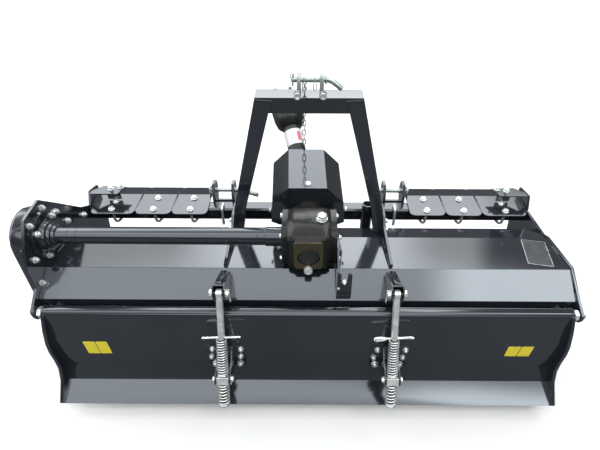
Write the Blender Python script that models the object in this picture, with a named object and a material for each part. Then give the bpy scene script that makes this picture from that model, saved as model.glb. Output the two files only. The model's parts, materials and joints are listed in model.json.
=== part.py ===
"""A tractor-mounted rotary tiller: hooded rotor, chain drive, sprung tailgate, headstock and driveline."""

import math

import bmesh
import bpy
from mathutils import Matrix, Vector

# Every length is in metres. Y = 0 is the rotor's axis, Z = 0 the ground, X = 0 the centreline.
ORIGIN_Y = -0.1360  # moves the machine so that its middle stands on the world's origin
SIDE = 0.95  # outer face of each side plate
PLATE = 0.010  # thickness of a side plate
INNER = SIDE - PLATE
SHEET = 0.006  # hood and tailgate sheet
GAP = 0.0003  # left between pieces that touch
TUBE = 0.060  # square tube of the beam and the headstock

ROTOR_Z = 0.232
TIP_R = 0.225
RING_STEP = 0.26  # from one ring of tines to the next
RING_COUNT = 7
TINES_A_RING = 6
ROTOR_TUBE_R = 0.040
RING_R = 0.098

DRIVE_Y, DRIVE_Z = 0.009, 0.600  # axis of the gearbox and of the tube to the chain case
DRIVE_TUBE_R = 0.031
BEAM_Y, BEAM_Z = 0.365, 0.442  # centre of the front beam
HINGE_Y, HINGE_Z = -0.188, 0.416  # tailgate hinge
GATE_SIDE = 0.918  # outer face of each tailgate end plate
ROLL_R = 0.025  # the tailgate's top edge, rolled round its hinge

ROD_X = 0.295
ROD_R = 0.012
ROD_TOP = (-0.194, 0.5265)  # (Y, Z) of the pin that the rod hangs from
TRUNNION = (-0.330, 0.2345)  # (Y, Z) of the trunnion that the rod slides through
ROD_LENGTH = 0.4361

MAST_REAR, MAST_FRONT = 0.225, 0.297  # rear and front faces of the headstock's cross bar
MAST_TOP, MAST_LOW = 1.024, 0.968  # its top and underside
PIN_Y, PIN_Z = 0.446, 0.497  # lower hitch pins
GEAR_X = 0.003  # the gearbox stands this far right of the centreline

JOINT = Vector((0.0, 0.250, 0.601))  # where the driveline meets the gearbox shaft
DRIVELINE = Vector((-0.232, 0.790, 0.560)).normalized()

# Top side of the hood's sheet, from its front flange to its rear lip, as (Y, Z)
HOOD_LINE = [(0.225, 0.440), (0.225, 0.462), (0.137, 0.487), (-0.058, 0.508), (-0.155, 0.447),
             (-0.155, 0.413)]
# Outer side of the tailgate's sheet below its roll, as (Y, Z)
GATE_LINE = [(-0.237, 0.320), (-0.231, 0.1745), (-0.258, 0.1095), (-0.335, 0.0705)]


def clear_scene():
    for item in list(bpy.data.objects):
        bpy.data.objects.remove(item, do_unlink=True)


def paint(name, colour, roughness, metallic):
    made = bpy.data.materials.new(name)
    made.use_nodes = True
    shader = made.node_tree.nodes["Principled BSDF"]
    shader.inputs["Base Color"].default_value = (*colour, 1.0)
    shader.inputs["Roughness"].default_value = roughness
    shader.inputs["Metallic"].default_value = metallic
    return made


# Shapes

CORNERS = ((-1, -1), (1, -1), (1, 1), (-1, 1))


def loft(rings):
    """A closed skin over rings of points that all have one length, with a cap at each end."""
    shape = bmesh.new()
    rows = [[shape.verts.new(point) for point in ring] for ring in rings]
    for lower, upper in zip(rows, rows[1:]):
        for index in range(len(lower)):
            after = (index + 1) % len(lower)
            shape.faces.new((lower[index], lower[after], upper[after], upper[index]))
    shape.faces.new(rows[0])
    shape.faces.new(rows[-1])
    bmesh.ops.recalc_face_normals(shape, faces=shape.faces)
    return shape


def prism(outline, axis, low, high):
    """An outline pushed from low to high. It holds (Y, Z) across X, (X, Z) across Y and (X, Y) across Z."""
    spots = {
        "X": lambda a, b, level: (level, a, b),
        "Y": lambda a, b, level: (a, level, b),
        "Z": lambda a, b, level: (a, b, level),
    }
    return loft([[spots[axis](a, b, level) for a, b in outline] for level in (low, high)])


def block(low, high):
    corners = [(low[0], low[1]), (high[0], low[1]), (high[0], high[1]), (low[0], high[1])]
    return prism(corners, "Z", low[2], high[2])


def ring_points(centre, direction, radius, sides, turn=0.0):
    direction = Vector(direction).normalized()
    across = direction.cross(Vector((0, 0, 1)) if abs(direction.z) < 0.9 else Vector((0, 1, 0))).normalized()
    other = direction.cross(across)
    steps = [math.tau * (index + turn) / sides for index in range(sides)]
    return [Vector(centre) + radius * (math.cos(step) * across + math.sin(step) * other) for step in steps]


def turned(start, direction, profile, sides=16, turn=0.5):
    """A round solid along a line, from (distance, radius) pairs."""
    direction = Vector(direction).normalized()
    rings = [ring_points(Vector(start) + direction * along, direction, radius, sides, turn)
             for along, radius in profile]
    return loft(rings)


def rod(start, end, radius, sides=12):
    length = (Vector(end) - Vector(start)).length
    return turned(start, Vector(end) - Vector(start), [(0, radius), (length, radius)], sides)


def bent_rod(points, radius, sides=8):
    """A round bar through points, mitred where it turns."""
    points = [Vector(point) for point in points]
    runs = [(after - before).normalized() for before, after in zip(points, points[1:])]
    across = runs[0].cross(Vector((0.31, 0.17, 0.93))).normalized()
    rings = []
    for index, point in enumerate(points):
        before, after = runs[max(index - 1, 0)], runs[min(index, len(runs) - 1)]
        tangent = (before + after).normalized()
        across = (across - tangent * across.dot(tangent)).normalized()
        other = tangent.cross(across)
        steps = [math.tau * (step + 0.5) / sides for step in range(sides)]
        rings.append([point + radius * (math.cos(step) * across + math.sin(step) * other) for step in steps])
    return loft(rings)


def rounded(outline, radius, steps=3):
    """The outline with each corner turned into an arc."""
    points = [Vector(point) for point in outline]
    result = []
    for index, corner in enumerate(points):
        before = (points[index - 1] - corner)
        after = (points[(index + 1) % len(points)] - corner)
        half = before.angle(after) / 2
        reach = min(radius / math.tan(half), 0.45 * before.length, 0.45 * after.length)
        centre = corner + (before.normalized() + after.normalized()).normalized() * (reach / math.cos(half))
        first = corner + before.normalized() * reach - centre
        last = corner + after.normalized() * reach - centre
        for step in range(steps + 1):
            blend = first.lerp(last, step / steps).normalized() * first.length
            result.append(tuple(centre + blend))
    return result


def strip(line, thickness):
    """The outline of a sheet that lies to the right of a line as it is walked."""
    points = [Vector(point) for point in line]
    inner = []
    for index, point in enumerate(points):
        before = (point - points[index - 1]).normalized() if index else None
        after = (points[index + 1] - point).normalized() if index + 1 < len(points) else None
        normals = [Vector((run.y, -run.x)) for run in (before, after) if run is not None]
        middle = sum(normals, Vector((0, 0))).normalized()
        inner.append(point + middle * (thickness / middle.dot(normals[0])))
    return [tuple(point) for point in points + inner[::-1]]


def arc(centre, radius, start, end, steps):
    """Points on a circle between two angles in degrees, in whatever plane the centre is given."""
    angles = [math.radians(start + (end - start) * step / steps) for step in range(steps + 1)]
    return [(centre[0] + radius * math.cos(a), centre[1] + radius * math.sin(a)) for a in angles]


def mirrored(shape):
    """The shape on the other side of the centreline."""
    bmesh.ops.scale(shape, vec=(-1, 1, 1), verts=shape.verts)
    bmesh.ops.reverse_faces(shape, faces=shape.faces)
    return shape


def sided(shape, side):
    return mirrored(shape) if side < 0 else shape


# Nodes

def raw_object(shape, name):
    mesh = bpy.data.meshes.new(name)
    shape.to_mesh(mesh)
    shape.free()
    made = bpy.data.objects.new(name, mesh)
    bpy.context.scene.collection.objects.link(made)
    return made


def combined(name, adds, cuts=()):
    """One mesh from shapes that are joined and others that are cut away."""
    base = raw_object(adds[0], name)
    helpers = []
    for operation, shapes in (("UNION", adds[1:]), ("DIFFERENCE", cuts)):
        for shape in shapes:
            helper = raw_object(shape, name + "_tool")
            helpers.append(helper)
            modifier = base.modifiers.new(operation.lower(), "BOOLEAN")
            modifier.operation = operation
            modifier.object = helper
            modifier.solver = "EXACT"
    bpy.context.view_layer.update()
    evaluated = base.evaluated_get(bpy.context.evaluated_depsgraph_get())
    mesh = bpy.data.meshes.new_from_object(evaluated)
    for item in helpers + [base]:
        bpy.data.objects.remove(item, do_unlink=True)
    return mesh


def node(name, adds, material, cuts=(), parent=None):
    """A named sub-part. Its shapes are in the machine's own frame, and its origin is its parent's."""
    mesh = combined(name, adds, cuts)
    mesh.name = name
    mesh.materials.clear()
    mesh.materials.append(material)
    mesh.shade_smooth()
    mesh.set_sharp_from_angle(angle=math.radians(32))
    made = bpy.data.objects.new(name, mesh)
    bpy.context.scene.collection.objects.link(made)
    holder = parent or MACHINE
    made.parent = holder
    mesh.transform(Matrix.Translation(-PLACES[holder.name]))
    return made


def holder(name, place, parent=None):
    """An empty on a joint's axis, which a moving piece is parented to."""
    made = bpy.data.objects.new(name, None)
    bpy.context.scene.collection.objects.link(made)
    made.parent = parent
    PLACES[name] = Vector(place)
    made.location = Vector(place) - (PLACES[parent.name] if parent else Vector((0, 0, 0)))
    return made


clear_scene()
PLACES = {}
MACHINE = holder("machine", (0, 0, 0))
MACHINE.location = (0, ORIGIN_Y, 0)

PAINT = paint("grey_paint", (0.060, 0.068, 0.082), 0.28, 0.0)
CAST = paint("cast_iron", (0.030, 0.031, 0.034), 0.45, 0.2)
ZINC = paint("zinc_plate", (0.62, 0.63, 0.64), 0.30, 0.9)
STEEL = paint("bare_steel", (0.20, 0.20, 0.21), 0.45, 0.8)
PLASTIC = paint("black_plastic", (0.012, 0.012, 0.013), 0.40, 0.0)


def hood_top(y):
    """Height of the hood's upper face at a distance from the rotor's axis."""
    for (y0, z0), (y1, z1) in zip(HOOD_LINE[1:], HOOD_LINE[2:5]):
        if y1 <= y <= y0:
            return z0 + (z1 - z0) * (y - y0) / (y1 - y0)
    raise ValueError(y)


# Hood, side plates and beam

def build_hood():
    outline = strip(HOOD_LINE[::-1], SHEET)
    node("hood_sheet", [prism(outline, "X", -INNER + GAP, INNER - GAP)], PAINT)


# Outlines of the two side plates as (Y, Z): the shared lower edge, then each one's own upper edge
PLATE_FOOT = [(-0.210, 0.412), (-0.203, 0.394), (-0.184, 0.384), (-0.188, 0.250), (-0.165, 0.130),
              (-0.120, 0.060), (0.250, 0.060), (0.335, 0.120), (0.420, 0.250), (0.455, 0.400)]
RIGHT_TOP = [(0.450, 0.516), (0.362, 0.531), (0.334, 0.473), (0.170, 0.481), (0.137, 0.495), (-0.056, 0.515),
             (-0.160, 0.455), (-0.210, 0.432)]
LEFT_TOP = [(0.450, 0.516), (0.376, 0.534), (0.342, 0.484), (0.276, 0.523), (0.120, 0.665), (0.057, 0.721),
            (-0.048, 0.713), (-0.112, 0.629), (-0.140, 0.570), (-0.143, 0.487), (-0.210, 0.440)]


def build_side_plates():
    shaft = [(0, 0.036), (PLATE + 0.004, 0.036)]
    for name, side, top in (("side_plate_left", -1, LEFT_TOP), ("side_plate_right", 1, RIGHT_TOP)):
        plate = prism(PLATE_FOOT + top, "X", INNER, SIDE)
        pivot = rod((GATE_SIDE - 0.022, HINGE_Y, HINGE_Z), (INNER + 0.002, HINGE_Y, HINGE_Z), 0.010)
        head = rod((GATE_SIDE + 0.006, HINGE_Y, HINGE_Z), (INNER - 0.004, HINGE_Y, HINGE_Z), 0.015, 6)
        hole = turned((INNER - 0.002, 0, ROTOR_Z), (1, 0, 0), shaft, 20)
        adds = [sided(shape, side) for shape in (plate, pivot, head)]
        node(name, adds, PAINT, cuts=[sided(hole, side)])


def build_beam():
    half = TUBE / 2
    corners = [(BEAM_Y - half, BEAM_Z - half), (BEAM_Y + half, BEAM_Z - half),
               (BEAM_Y + half, BEAM_Z + half), (BEAM_Y - half, BEAM_Z + half)]
    node("front_beam", [prism(rounded(corners, 0.007, 1), "X", -INNER + GAP, INNER - GAP)], PAINT)


# Guard plates on the beam: each side's three plates by their (inner, outer) edges along X
GUARD_EDGES = [(0.433, 0.583), (0.589, 0.739), (0.745, 0.930)]
GUARD_REAR, GUARD_FOLD, GUARD_FRONT = 0.292, 0.435, 0.530
GUARD_DROP = 0.028
GUARD_T = 0.005


def guard_sheet(inner, outer, base, chamfer):
    """A flat plate with rounded rear corners, folded down a little at its front."""
    corner = 0.022
    outline = arc((inner + corner, GUARD_REAR + corner), corner, 180, 270, 3)
    outline += arc((outer - corner, GUARD_REAR + corner), corner, 270, 360, 3)
    outline += [(outer, GUARD_FOLD), (outer, GUARD_FRONT - chamfer), (outer - chamfer, GUARD_FRONT),
                (inner, GUARD_FRONT), (inner, GUARD_FOLD)]
    shape = prism(outline, "Z", base, base + GUARD_T)
    everything = shape.verts[:] + shape.edges[:] + shape.faces[:]
    bmesh.ops.bisect_plane(shape, geom=everything, plane_co=(0, GUARD_FOLD, 0), plane_no=(0, 1, 0))
    slope = GUARD_DROP / (GUARD_FRONT - GUARD_FOLD)
    for vert in shape.verts:
        vert.co.z -= max(0.0, vert.co.y - GUARD_FOLD) * slope
    return shape


def build_guards():
    base = BEAM_Z + TUBE / 2 + GAP
    for side, label in ((-1, "left"), (1, "right")):
        for number, (inner, outer) in enumerate(GUARD_EDGES, 1):
            chamfer = 0.045 if number == 3 else 0.010
            sheet = guard_sheet(inner, outer, base, chamfer)
            node(f"guard_plate_{label}_{number}", [sided(sheet, side)], PAINT)


# Wings that close the front corners: a raised plate on each side plate, as (X, Y)
WING = [(0.800, 0.418), (0.822, 0.362), (INNER - GAP, 0.362), (INNER - GAP, 0.385), (0.900, 0.424)]
WING_Z = 0.524


def build_wings():
    for side, label in ((-1, "left"), (1, "right")):
        plate = prism(WING, "Z", WING_Z, WING_Z + 0.006)
        web = block((0.822, 0.388, BEAM_Z + 0.041), (0.880, 0.394, WING_Z + 0.002))
        node(f"corner_wing_{label}", [sided(shape, side) for shape in (plate, web)], PAINT)


# Skid: outer side of the runner from front to rear, as (Y, Z)
SKID_LINE = [(0.385, 0.150), (0.372, 0.078), (0.335, 0.024), (0.270, 0.0), (-0.100, 0.0), (-0.150, 0.022)]


def build_skids():
    for side, label in ((-1, "left"), (1, "right")):
        runner = prism(strip(SKID_LINE, 0.008), "X", SIDE + GAP, SIDE + 0.050)
        web = prism([(0.365, 0.075), (0.330, 0.027), (0.268, 0.006), (-0.100, 0.006), (-0.140, 0.022),
                     (-0.120, 0.090), (0.200, 0.100), (0.330, 0.140)], "X", SIDE + GAP, SIDE + 0.008)
        node(f"skid_{label}", [sided(shape, side) for shape in (runner, web)], PAINT)


# Drive

FLANGE_OUT = 0.0945  # from the gearbox's middle to the outer face of each side flange
DRIVE_DISC_R = 0.083
# The tube from the gearbox to the left side plate, as (distance, radius)
DRIVE_PROFILE = [(0, 0.0345), (0.060, 0.0345), (0.061, DRIVE_TUBE_R), (0.796, DRIVE_TUBE_R), (0.797, 0.037),
                 (0.808, 0.037), (0.809, 0.044), (0.820, 0.044), (0.821, 0.053), (0.8404, 0.053),
                 (0.8409, DRIVE_DISC_R), (0.8476, DRIVE_DISC_R)]


def build_drive():
    start = GEAR_X - FLANGE_OUT - GAP
    tube = turned((start, DRIVE_Y, DRIVE_Z), (-1, 0, 0), DRIVE_PROFILE, 28)
    node("drive_tube", [tube], PAINT)


def build_chain_case():
    top = arc((DRIVE_Y, DRIVE_Z), 0.104, 0, 180, 10)
    foot = arc((0.0, ROTOR_Z), 0.112, 180, 360, 10)
    shape = prism(top + foot, "X", -SIDE - 0.055, -SIDE - GAP)
    edges = [edge for edge in shape.edges if all(vert.co.x < -SIDE - 0.05 for vert in edge.verts)]
    bmesh.ops.bevel(shape, geom=edges, offset=0.016, segments=3, profile=0.5, affect="EDGES")
    rim = prism(arc((DRIVE_Y, DRIVE_Z), 0.113, 0, 180, 10) + arc((0.0, ROTOR_Z), 0.121, 180, 360, 10),
                "X", -SIDE - 0.008, -SIDE - GAP)
    node("chain_case", [shape, rim], PAINT)


def build_bearing_hub():
    hub = turned((SIDE + GAP, 0, ROTOR_Z), (1, 0, 0),
                 [(0, 0.085), (0.012, 0.085), (0.014, 0.062), (0.038, 0.056), (0.046, 0.040),
                  (0.0547, 0.038)], 20)
    node("bearing_hub", [hub], CAST)


# Section of the gearbox's case, as (Y, Z), then how it swells from each end to the middle, as (X, scale)
CASE = [(-0.096, 0.545), (-0.080, 0.530), (0.090, 0.526), (0.112, 0.545), (0.112, 0.640), (0.080, 0.680),
        (0.050, 0.697), (-0.036, 0.699), (-0.087, 0.686), (-0.097, 0.674)]
CASE_SWELL = [(-0.074, 0.91), (-0.064, 0.965), (-0.046, 1.0), (0.046, 1.0), (0.064, 0.965), (0.074, 0.91)]
BOSS = [(-0.041, 0.557), (-0.049, 0.570), (-0.049, 0.668), (-0.042, 0.674), (0.042, 0.674), (0.049, 0.668),
        (0.049, 0.570), (0.041, 0.557)]
BOSS_REAR = -0.110
BREATHER = (0.046, -0.015, 0.690)
BREATHER_PROFILE = [(0, 0.017), (0.014, 0.017), (0.015, 0.0125), (0.031, 0.0125)]  # (distance, radius)
CASE_FEET = (-0.052, 0.052)  # middles of the two feet from the gearbox's middle
CASE_FOOT_HALF = 0.014
COLLAR_R = 0.060


def build_gearbox():
    rings = []
    for x, scale in CASE_SWELL:
        section = [(DRIVE_Y + (y - DRIVE_Y) * scale, DRIVE_Z + (z - DRIVE_Z) * scale) for y, z in CASE]
        rings.append([(GEAR_X + x, y, z) for y, z in section])
    case = loft(rings)
    outline = rounded([(-0.078, 0.526), (0.096, 0.526), (0.096, 0.684), (-0.078, 0.684)], 0.040, 3)
    flanges = []
    for side in (-1, 1):
        low, high = sorted((GEAR_X + side * (CASE_SWELL[-1][0] - 0.002), GEAR_X + side * FLANGE_OUT))
        flanges.append(prism(outline, "X", low, high))
    boss = prism(BOSS, "Y", BOSS_REAR, -0.080)
    collar = turned((0, 0.108, DRIVE_Z), (0, 1, 0), [(0, COLLAR_R), (0.048, COLLAR_R)], 20)
    breather = turned(BREATHER, (0, 0, 1), BREATHER_PROFILE, 12)
    drain = turned((0, -0.088, 0.5535), (0, -1, 0), [(0, 0.014), (0.029, 0.014), (0.033, 0.010)], 12)
    foot_line = [(-0.050, hood_top(-0.050) + GAP), (0.130, hood_top(0.130) + GAP), (0.130, 0.512),
                 (0.100, 0.536), (-0.060, 0.536), (-0.050, 0.522)]
    feet = []
    for offset in CASE_FEET:
        middle = GEAR_X + offset
        feet.append(prism(foot_line, "X", middle - CASE_FOOT_HALF, middle + CASE_FOOT_HALF))
    recess = turned((0.001, BOSS_REAR - 0.002, 0.606), (0, 1, 0), [(0, 0.0385), (0.020, 0.036)], 24)
    node("gearbox", [case] + flanges + [boss, collar, breather, drain] + feet, CAST, cuts=[recess])


# The bracket on the gearbox's right flange: its arm as (Y, Z), then its notched rear face as (X, Z)
NOTCH_ARM = [(-0.030, 0.560), (-0.045, 0.628), (-0.090, 0.636), (-0.149, 0.580), (-0.149, 0.463),
             (-0.138, 0.463), (-0.090, 0.520)]
NOTCH_FACE = [(0.0985, 0.463), (0.1485, 0.463), (0.1470, 0.577), (0.1335, 0.577), (0.1315, 0.545),
              (0.1215, 0.5345), (0.1115, 0.545), (0.1110, 0.574), (0.0985, 0.574)]


def build_notch_bracket():
    low = GEAR_X + FLANGE_OUT + GAP
    arm = prism(NOTCH_ARM, "X", low, low + 0.006)
    face = prism(NOTCH_FACE, "Y", -0.155, -0.1488)
    node("notch_bracket", [arm, face], PAINT)


# Steel tunnel over the driveline: half of its section at the gearbox as (X, Z), and what changes forwards
TUNNEL = [(0.070, 0.717), (0.133, 0.653), (0.140, 0.560)]
TUNNEL_Y = (0.142, 0.372)
TUNNEL_RISE = 0.029
TUNNEL_SHIFT = (-0.003, -0.011)  # of its middle from the centreline, at each end
TUNNEL_T = 0.004


def build_tunnel():
    right = TUNNEL[::-1]
    left = [(-x, z) for x, z in TUNNEL]
    band = strip(right + left, -TUNNEL_T)
    rings = []
    for y, lift, shift in zip(TUNNEL_Y, (0.0, TUNNEL_RISE), TUNNEL_SHIFT):
        rings.append([(x + shift, y, z + lift) for x, z in band])
    shell = loft(rings)
    y = TUNNEL_Y[0]
    face = [(x + TUNNEL_SHIFT[0], z) for x, z in right + left + [(-0.110, 0.546), (0.110, 0.546)]]
    panel = prism(face, "Y", y, y + 0.006)
    mouth_r = COLLAR_R + 0.0005
    mouth = turned((0, y - 0.010, DRIVE_Z), (0, 1, 0), [(0, mouth_r), (0.030, mouth_r)], 20)
    vents = []
    for side in (-1, 1):
        for low, high in ((0.18, 0.46), (0.54, 0.82)):
            corners = []
            for part, inward in ((low, 0.002), (high, 0.002), (high, 0.014), (low, 0.014)):
                x = TUNNEL[0][0] + (TUNNEL[1][0] - TUNNEL[0][0]) * part
                z = TUNNEL[0][1] + (TUNNEL[1][1] - TUNNEL[0][1]) * part
                corners.append((side * (x - 0.71 * inward) + TUNNEL_SHIFT[0], z - 0.70 * inward))
            vents.append(prism(corners, "Y", y - 0.004, y + 0.004))
    node("driveline_tunnel", [shell, panel], PAINT, cuts=[mouth] + vents)


# The driveline's guard, as (distance, radius)
GUARD_PROFILE = [(0, 0.056), (0.060, 0.050), (0.080, 0.036), (0.262, 0.036), (0.265, 0.043), (0.279, 0.057),
                 (0.305, 0.064), (0.340, 0.066), (0.390, 0.066), (0.400, 0.064)]


def build_driveline():
    """The guard tube over the driveline, with a bell at the gearbox and a cone at the tractor's end."""
    tube = turned(JOINT + DRIVELINE * 0.045, DRIVELINE, GUARD_PROFILE, 20)
    mouth = turned(JOINT + DRIVELINE * 0.445, -DRIVELINE, [(-0.01, 0.060), (0.060, 0.048)], 20)
    node("driveline_guard", [tube], PLASTIC, cuts=[mouth])


def build_yoke():
    axis = holder("yoke_axis", JOINT + DRIVELINE * 0.430, MACHINE)
    start = JOINT + DRIVELINE * 0.3855
    stem = turned(start, DRIVELINE, [(0, 0.022), (0.040, 0.022), (0.044, 0.030), (0.058, 0.034)], 14)
    side = DRIVELINE.cross(Vector((0, 0, 1))).normalized()
    other = side.cross(DRIVELINE).normalized()
    adds = [stem]
    for sign in (-1, 1):
        foot = start + DRIVELINE * 0.050 + side * 0.026 * sign
        rings = []
        for along, reach, out in ((0.0, 0.022, 0.0), (0.035, 0.022, 0.006), (0.060, 0.016, 0.006)):
            middle = foot + DRIVELINE * along + side * sign * out
            rings.append([middle + side * a * 0.006 + other * b * reach for a, b in CORNERS])
        adds.append(loft(rings))
    node("driveline_yoke", adds, STEEL, parent=axis)


# Headstock

# The right leg's section from its foot up to the cross bar's top, as (Z, inner X, outer X, rear Y, front Y)
LEG = [(0.4745, 0.2625, 0.2925, 0.186, 0.246), (0.575, 0.2475, 0.2925, 0.193, 0.255),
       (MAST_TOP, 0.1235, 0.1835, MAST_REAR, MAST_FRONT)]
FOOT_T = 0.010
# A foot plate's upper edge, from the beam back over the hood, as (Y, Z)
FOOT_TOP = [(0.3347, 0.430), (0.3347, 0.470), (0.262, 0.560), (0.182, 0.560), (0.150, 0.530),
            (-0.050, 0.522)]


def build_mast():
    _, (low_z, low_x, *_), (top_z, top_x, *_) = LEG
    taper = (low_x - top_x) / (top_z - low_z)
    wide = top_x + taper * (MAST_TOP - MAST_LOW) - GAP
    narrow = top_x - GAP
    outline = [(-wide, MAST_LOW), (wide, MAST_LOW), (narrow, MAST_TOP), (-narrow, MAST_TOP)]
    node("mast_bar", [prism(outline, "Y", MAST_REAR, MAST_FRONT)], PAINT)
    for side, label in ((-1, "left"), (1, "right")):
        rings = []
        for z, inner, outer, rear, front in LEG:
            rings.append([(inner, rear, z), (outer, rear, z), (outer, front, z), (inner, front, z)])
        node(f"mast_leg_{label}", [sided(loft(rings), side)], PAINT)
        plate_x = LEG[0][2] + GAP
        outline = [(y, hood_top(y) + GAP) for y in (-0.050, 0.137, 0.224)] + FOOT_TOP
        plate = prism(outline, "X", plate_x, plate_x + FOOT_T)
        node(f"mast_foot_{label}", [sided(plate, side)], PAINT)


EAR_OUTLINE = [(0.222, MAST_TOP + GAP), (0.288, MAST_TOP + GAP), (0.284, 1.086), (0.272, 1.104),
               (0.240, 1.104), (0.228, 1.086)]
EARS = [("left", -0.041), ("right", 0.035)]
EAR_T = 0.013
LINK_PIN = (0.255, 1.075)
LINK_PIN_R = 0.010


def build_top_link():
    for label, x in EARS:
        ear = prism(EAR_OUTLINE, "X", x, x + EAR_T)
        hole = rod((x - 0.01, *LINK_PIN), (x + EAR_T + 0.01, *LINK_PIN), LINK_PIN_R + 0.0012, 16)
        outward = 0.0045 if label == "right" else -0.0045
        middle = x + EAR_T / 2 + outward
        boss = turned((middle, 0.206, MAST_TOP + 0.0135), (0, 1, 0), [(0, 0.0115), (0.020, 0.0125)], 12)
        socket = turned((middle, 0.204, MAST_TOP + 0.0135), (0, 1, 0), [(0, 0.007), (0.012, 0.007)], 6)
        node(f"top_link_ear_{label}", [ear, boss], PAINT, cuts=[hole, socket])
    pin = bent_rod([(-0.060, *LINK_PIN), (0.062, *LINK_PIN), (0.078, LINK_PIN[0], LINK_PIN[1] - 0.006),
                    (0.110, LINK_PIN[0] - 0.004, LINK_PIN[1] - 0.030)], LINK_PIN_R - 0.0008, 12)
    collar = turned((0.0525, *LINK_PIN), (1, 0, 0), [(0, 0.015), (0.005, 0.015)], 12)
    node("top_link_pin", [pin, collar], ZINC)


# Lower hitch: outline of an ear as (Y, Z)
HITCH_EAR = [(0.3953, 0.415), (0.440, 0.415), (0.478, 0.470), (0.478, 0.512), (0.462, 0.540), (0.420, 0.544),
             (0.3953, 0.500)]
HITCH_EARS = [0.327, 0.411]
HITCH_T = 0.012
HITCH_PIN_R = 0.011
HITCH_HANDLES = [(-1, "left", 0.228), (1, "right", 0.280)]  # how near the centreline each pin's handle ends


def build_hitch():
    for side, label, end in HITCH_HANDLES:
        ears = [prism(HITCH_EAR, "X", x, x + HITCH_T) for x in HITCH_EARS]
        web = block((HITCH_EARS[0], 0.3953, 0.418), (HITCH_EARS[1] + HITCH_T, 0.405, 0.478))
        hole = rod((0.300, PIN_Y, PIN_Z), (0.450, PIN_Y, PIN_Z), HITCH_PIN_R + 0.0012, 16)
        adds = [sided(shape, side) for shape in ears + [web]]
        node(f"hitch_bracket_{label}", adds, PAINT, cuts=[sided(hole, side)])
        bend = 0.296
        droop = 0.004 + 0.40 * (bend - end)
        route = [(0.445, PIN_Y, PIN_Z), (0.312, PIN_Y, PIN_Z), (bend, PIN_Y, PIN_Z - 0.004),
                 (end, PIN_Y + 0.004, PIN_Z - droop)]
        pin = bent_rod(route, HITCH_PIN_R - 0.0008, 12)
        node(f"hitch_pin_{label}", [sided(pin, side)], ZINC)


# Parking stand

STAND_X, STAND_Y = 0.247, 0.305


def build_stand():
    sleeve = turned((STAND_X, STAND_Y, 0.350), (0, 0, 1), [(0, 0.0225), (0.177, 0.0225)], 16)
    bore = turned((STAND_X, STAND_Y, 0.340), (0, 0, 1), [(0, 0.0175), (0.20, 0.0175)], 16)
    lug = block((STAND_X - 0.020, STAND_Y + 0.010, 0.415), (STAND_X + 0.020, BEAM_Y - TUBE / 2 - GAP, 0.468))
    node("stand_sleeve", [sleeve, lug], PAINT, cuts=[bore])
    axis = holder("stand_axis", (STAND_X, STAND_Y, 0.0), MACHINE)
    leg = turned((STAND_X, STAND_Y, 0.004), (0, 0, 1), [(0, 0.0165), (0.506, 0.0165)], 14)
    pad = turned((STAND_X, STAND_Y, 0.0), (0, 0, 1), [(0, 0.036), (0.006, 0.036)], 16)
    node("stand_leg", [leg, pad], ZINC, parent=axis)


def along_route(route, distance):
    """The point at a distance along straight runs between points, and the run's direction there."""
    for before, after in zip(route, route[1:]):
        run = after - before
        if distance <= run.length or after is route[-1]:
            return before + run.normalized() * distance, run.normalized()
        distance -= run.length


CHAIN_LINKS = 13
# Outline of a link, in shares of its half length and half width
LINK = ((-1, -0.5), (-1, 0.5), (-0.6, 1), (0.6, 1), (1, 0.5), (1, -0.5), (0.6, -1), (-0.6, -1))


def build_chain():
    """The chain that holds up the driveline guard: links turned in pairs, each fused to the next."""
    up = DRIVELINE.cross(Vector((-1, 0, 0))).normalized()
    side = up.cross(DRIVELINE)
    end = JOINT + DRIVELINE * 0.215 + (up * 0.6 - side * 0.8) * 0.0385
    route = [Vector((-0.016, LINK_PIN[0] + 0.010, LINK_PIN[1] - 0.006)),
             Vector((-0.016, MAST_FRONT + 0.009, MAST_TOP + 0.006)), end]
    length = sum((after - before).length for before, after in zip(route, route[1:]))
    pitch = length / (CHAIN_LINKS + 0.3)
    links = []
    for index in range(CHAIN_LINKS):
        middle, run = along_route(route, pitch * (index + 0.65))
        side = run.cross(Vector((1, 0, 0))).normalized() if index % 2 else Vector((1, 0, 0))
        thin = run.cross(side).normalized()
        rings = []
        for sign in (-1, 1):
            rings.append([middle + run * pitch * 0.62 * a + side * 0.006 * b + thin * 0.0022 * sign
                          for a, b in LINK])
        links.append(loft(rings))
    node("guard_chain", links, ZINC)


# Rotor

def tine(side):
    """One L-shaped blade that stands up from the axis and turns over to one side at its tip."""
    reach = TIP_R - 0.004
    bend = 0.034
    thick = 0.007
    face = 0.0045
    outer = [(face, 0.062), (face, reach - bend)]
    outer += [(face + bend - bend * math.cos(a), reach - bend + bend * math.sin(a))
              for a in (math.radians(step) for step in (30, 60, 90))]
    outer += [(face + 0.092, reach)]
    small = bend - thick
    inner = [(face + 0.094, reach - thick), (face + bend, reach - thick)]
    inner += [(face + bend - small * math.cos(a), reach - bend + small * math.sin(a))
              for a in (math.radians(step) for step in (60, 30))]
    inner += [(face + thick, reach - bend), (face + thick, 0.062)]
    outline = outer + inner
    rings = []
    for level in (-1, 1):
        ring = []
        for x, r in outline:
            sweep = 0.055 * ((r - 0.062) / (reach - 0.062)) ** 2 + 0.30 * max(0.0, x - face - bend)
            half = 0.029 - 0.006 * (r - 0.062) / (reach - 0.062)
            y = level * half + sweep
            scale = r / math.hypot(r, y) if r > 0.15 else 1.0
            ring.append((side * x, y * scale, r * scale))
        rings.append(ring)
    return loft(rings)


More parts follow.
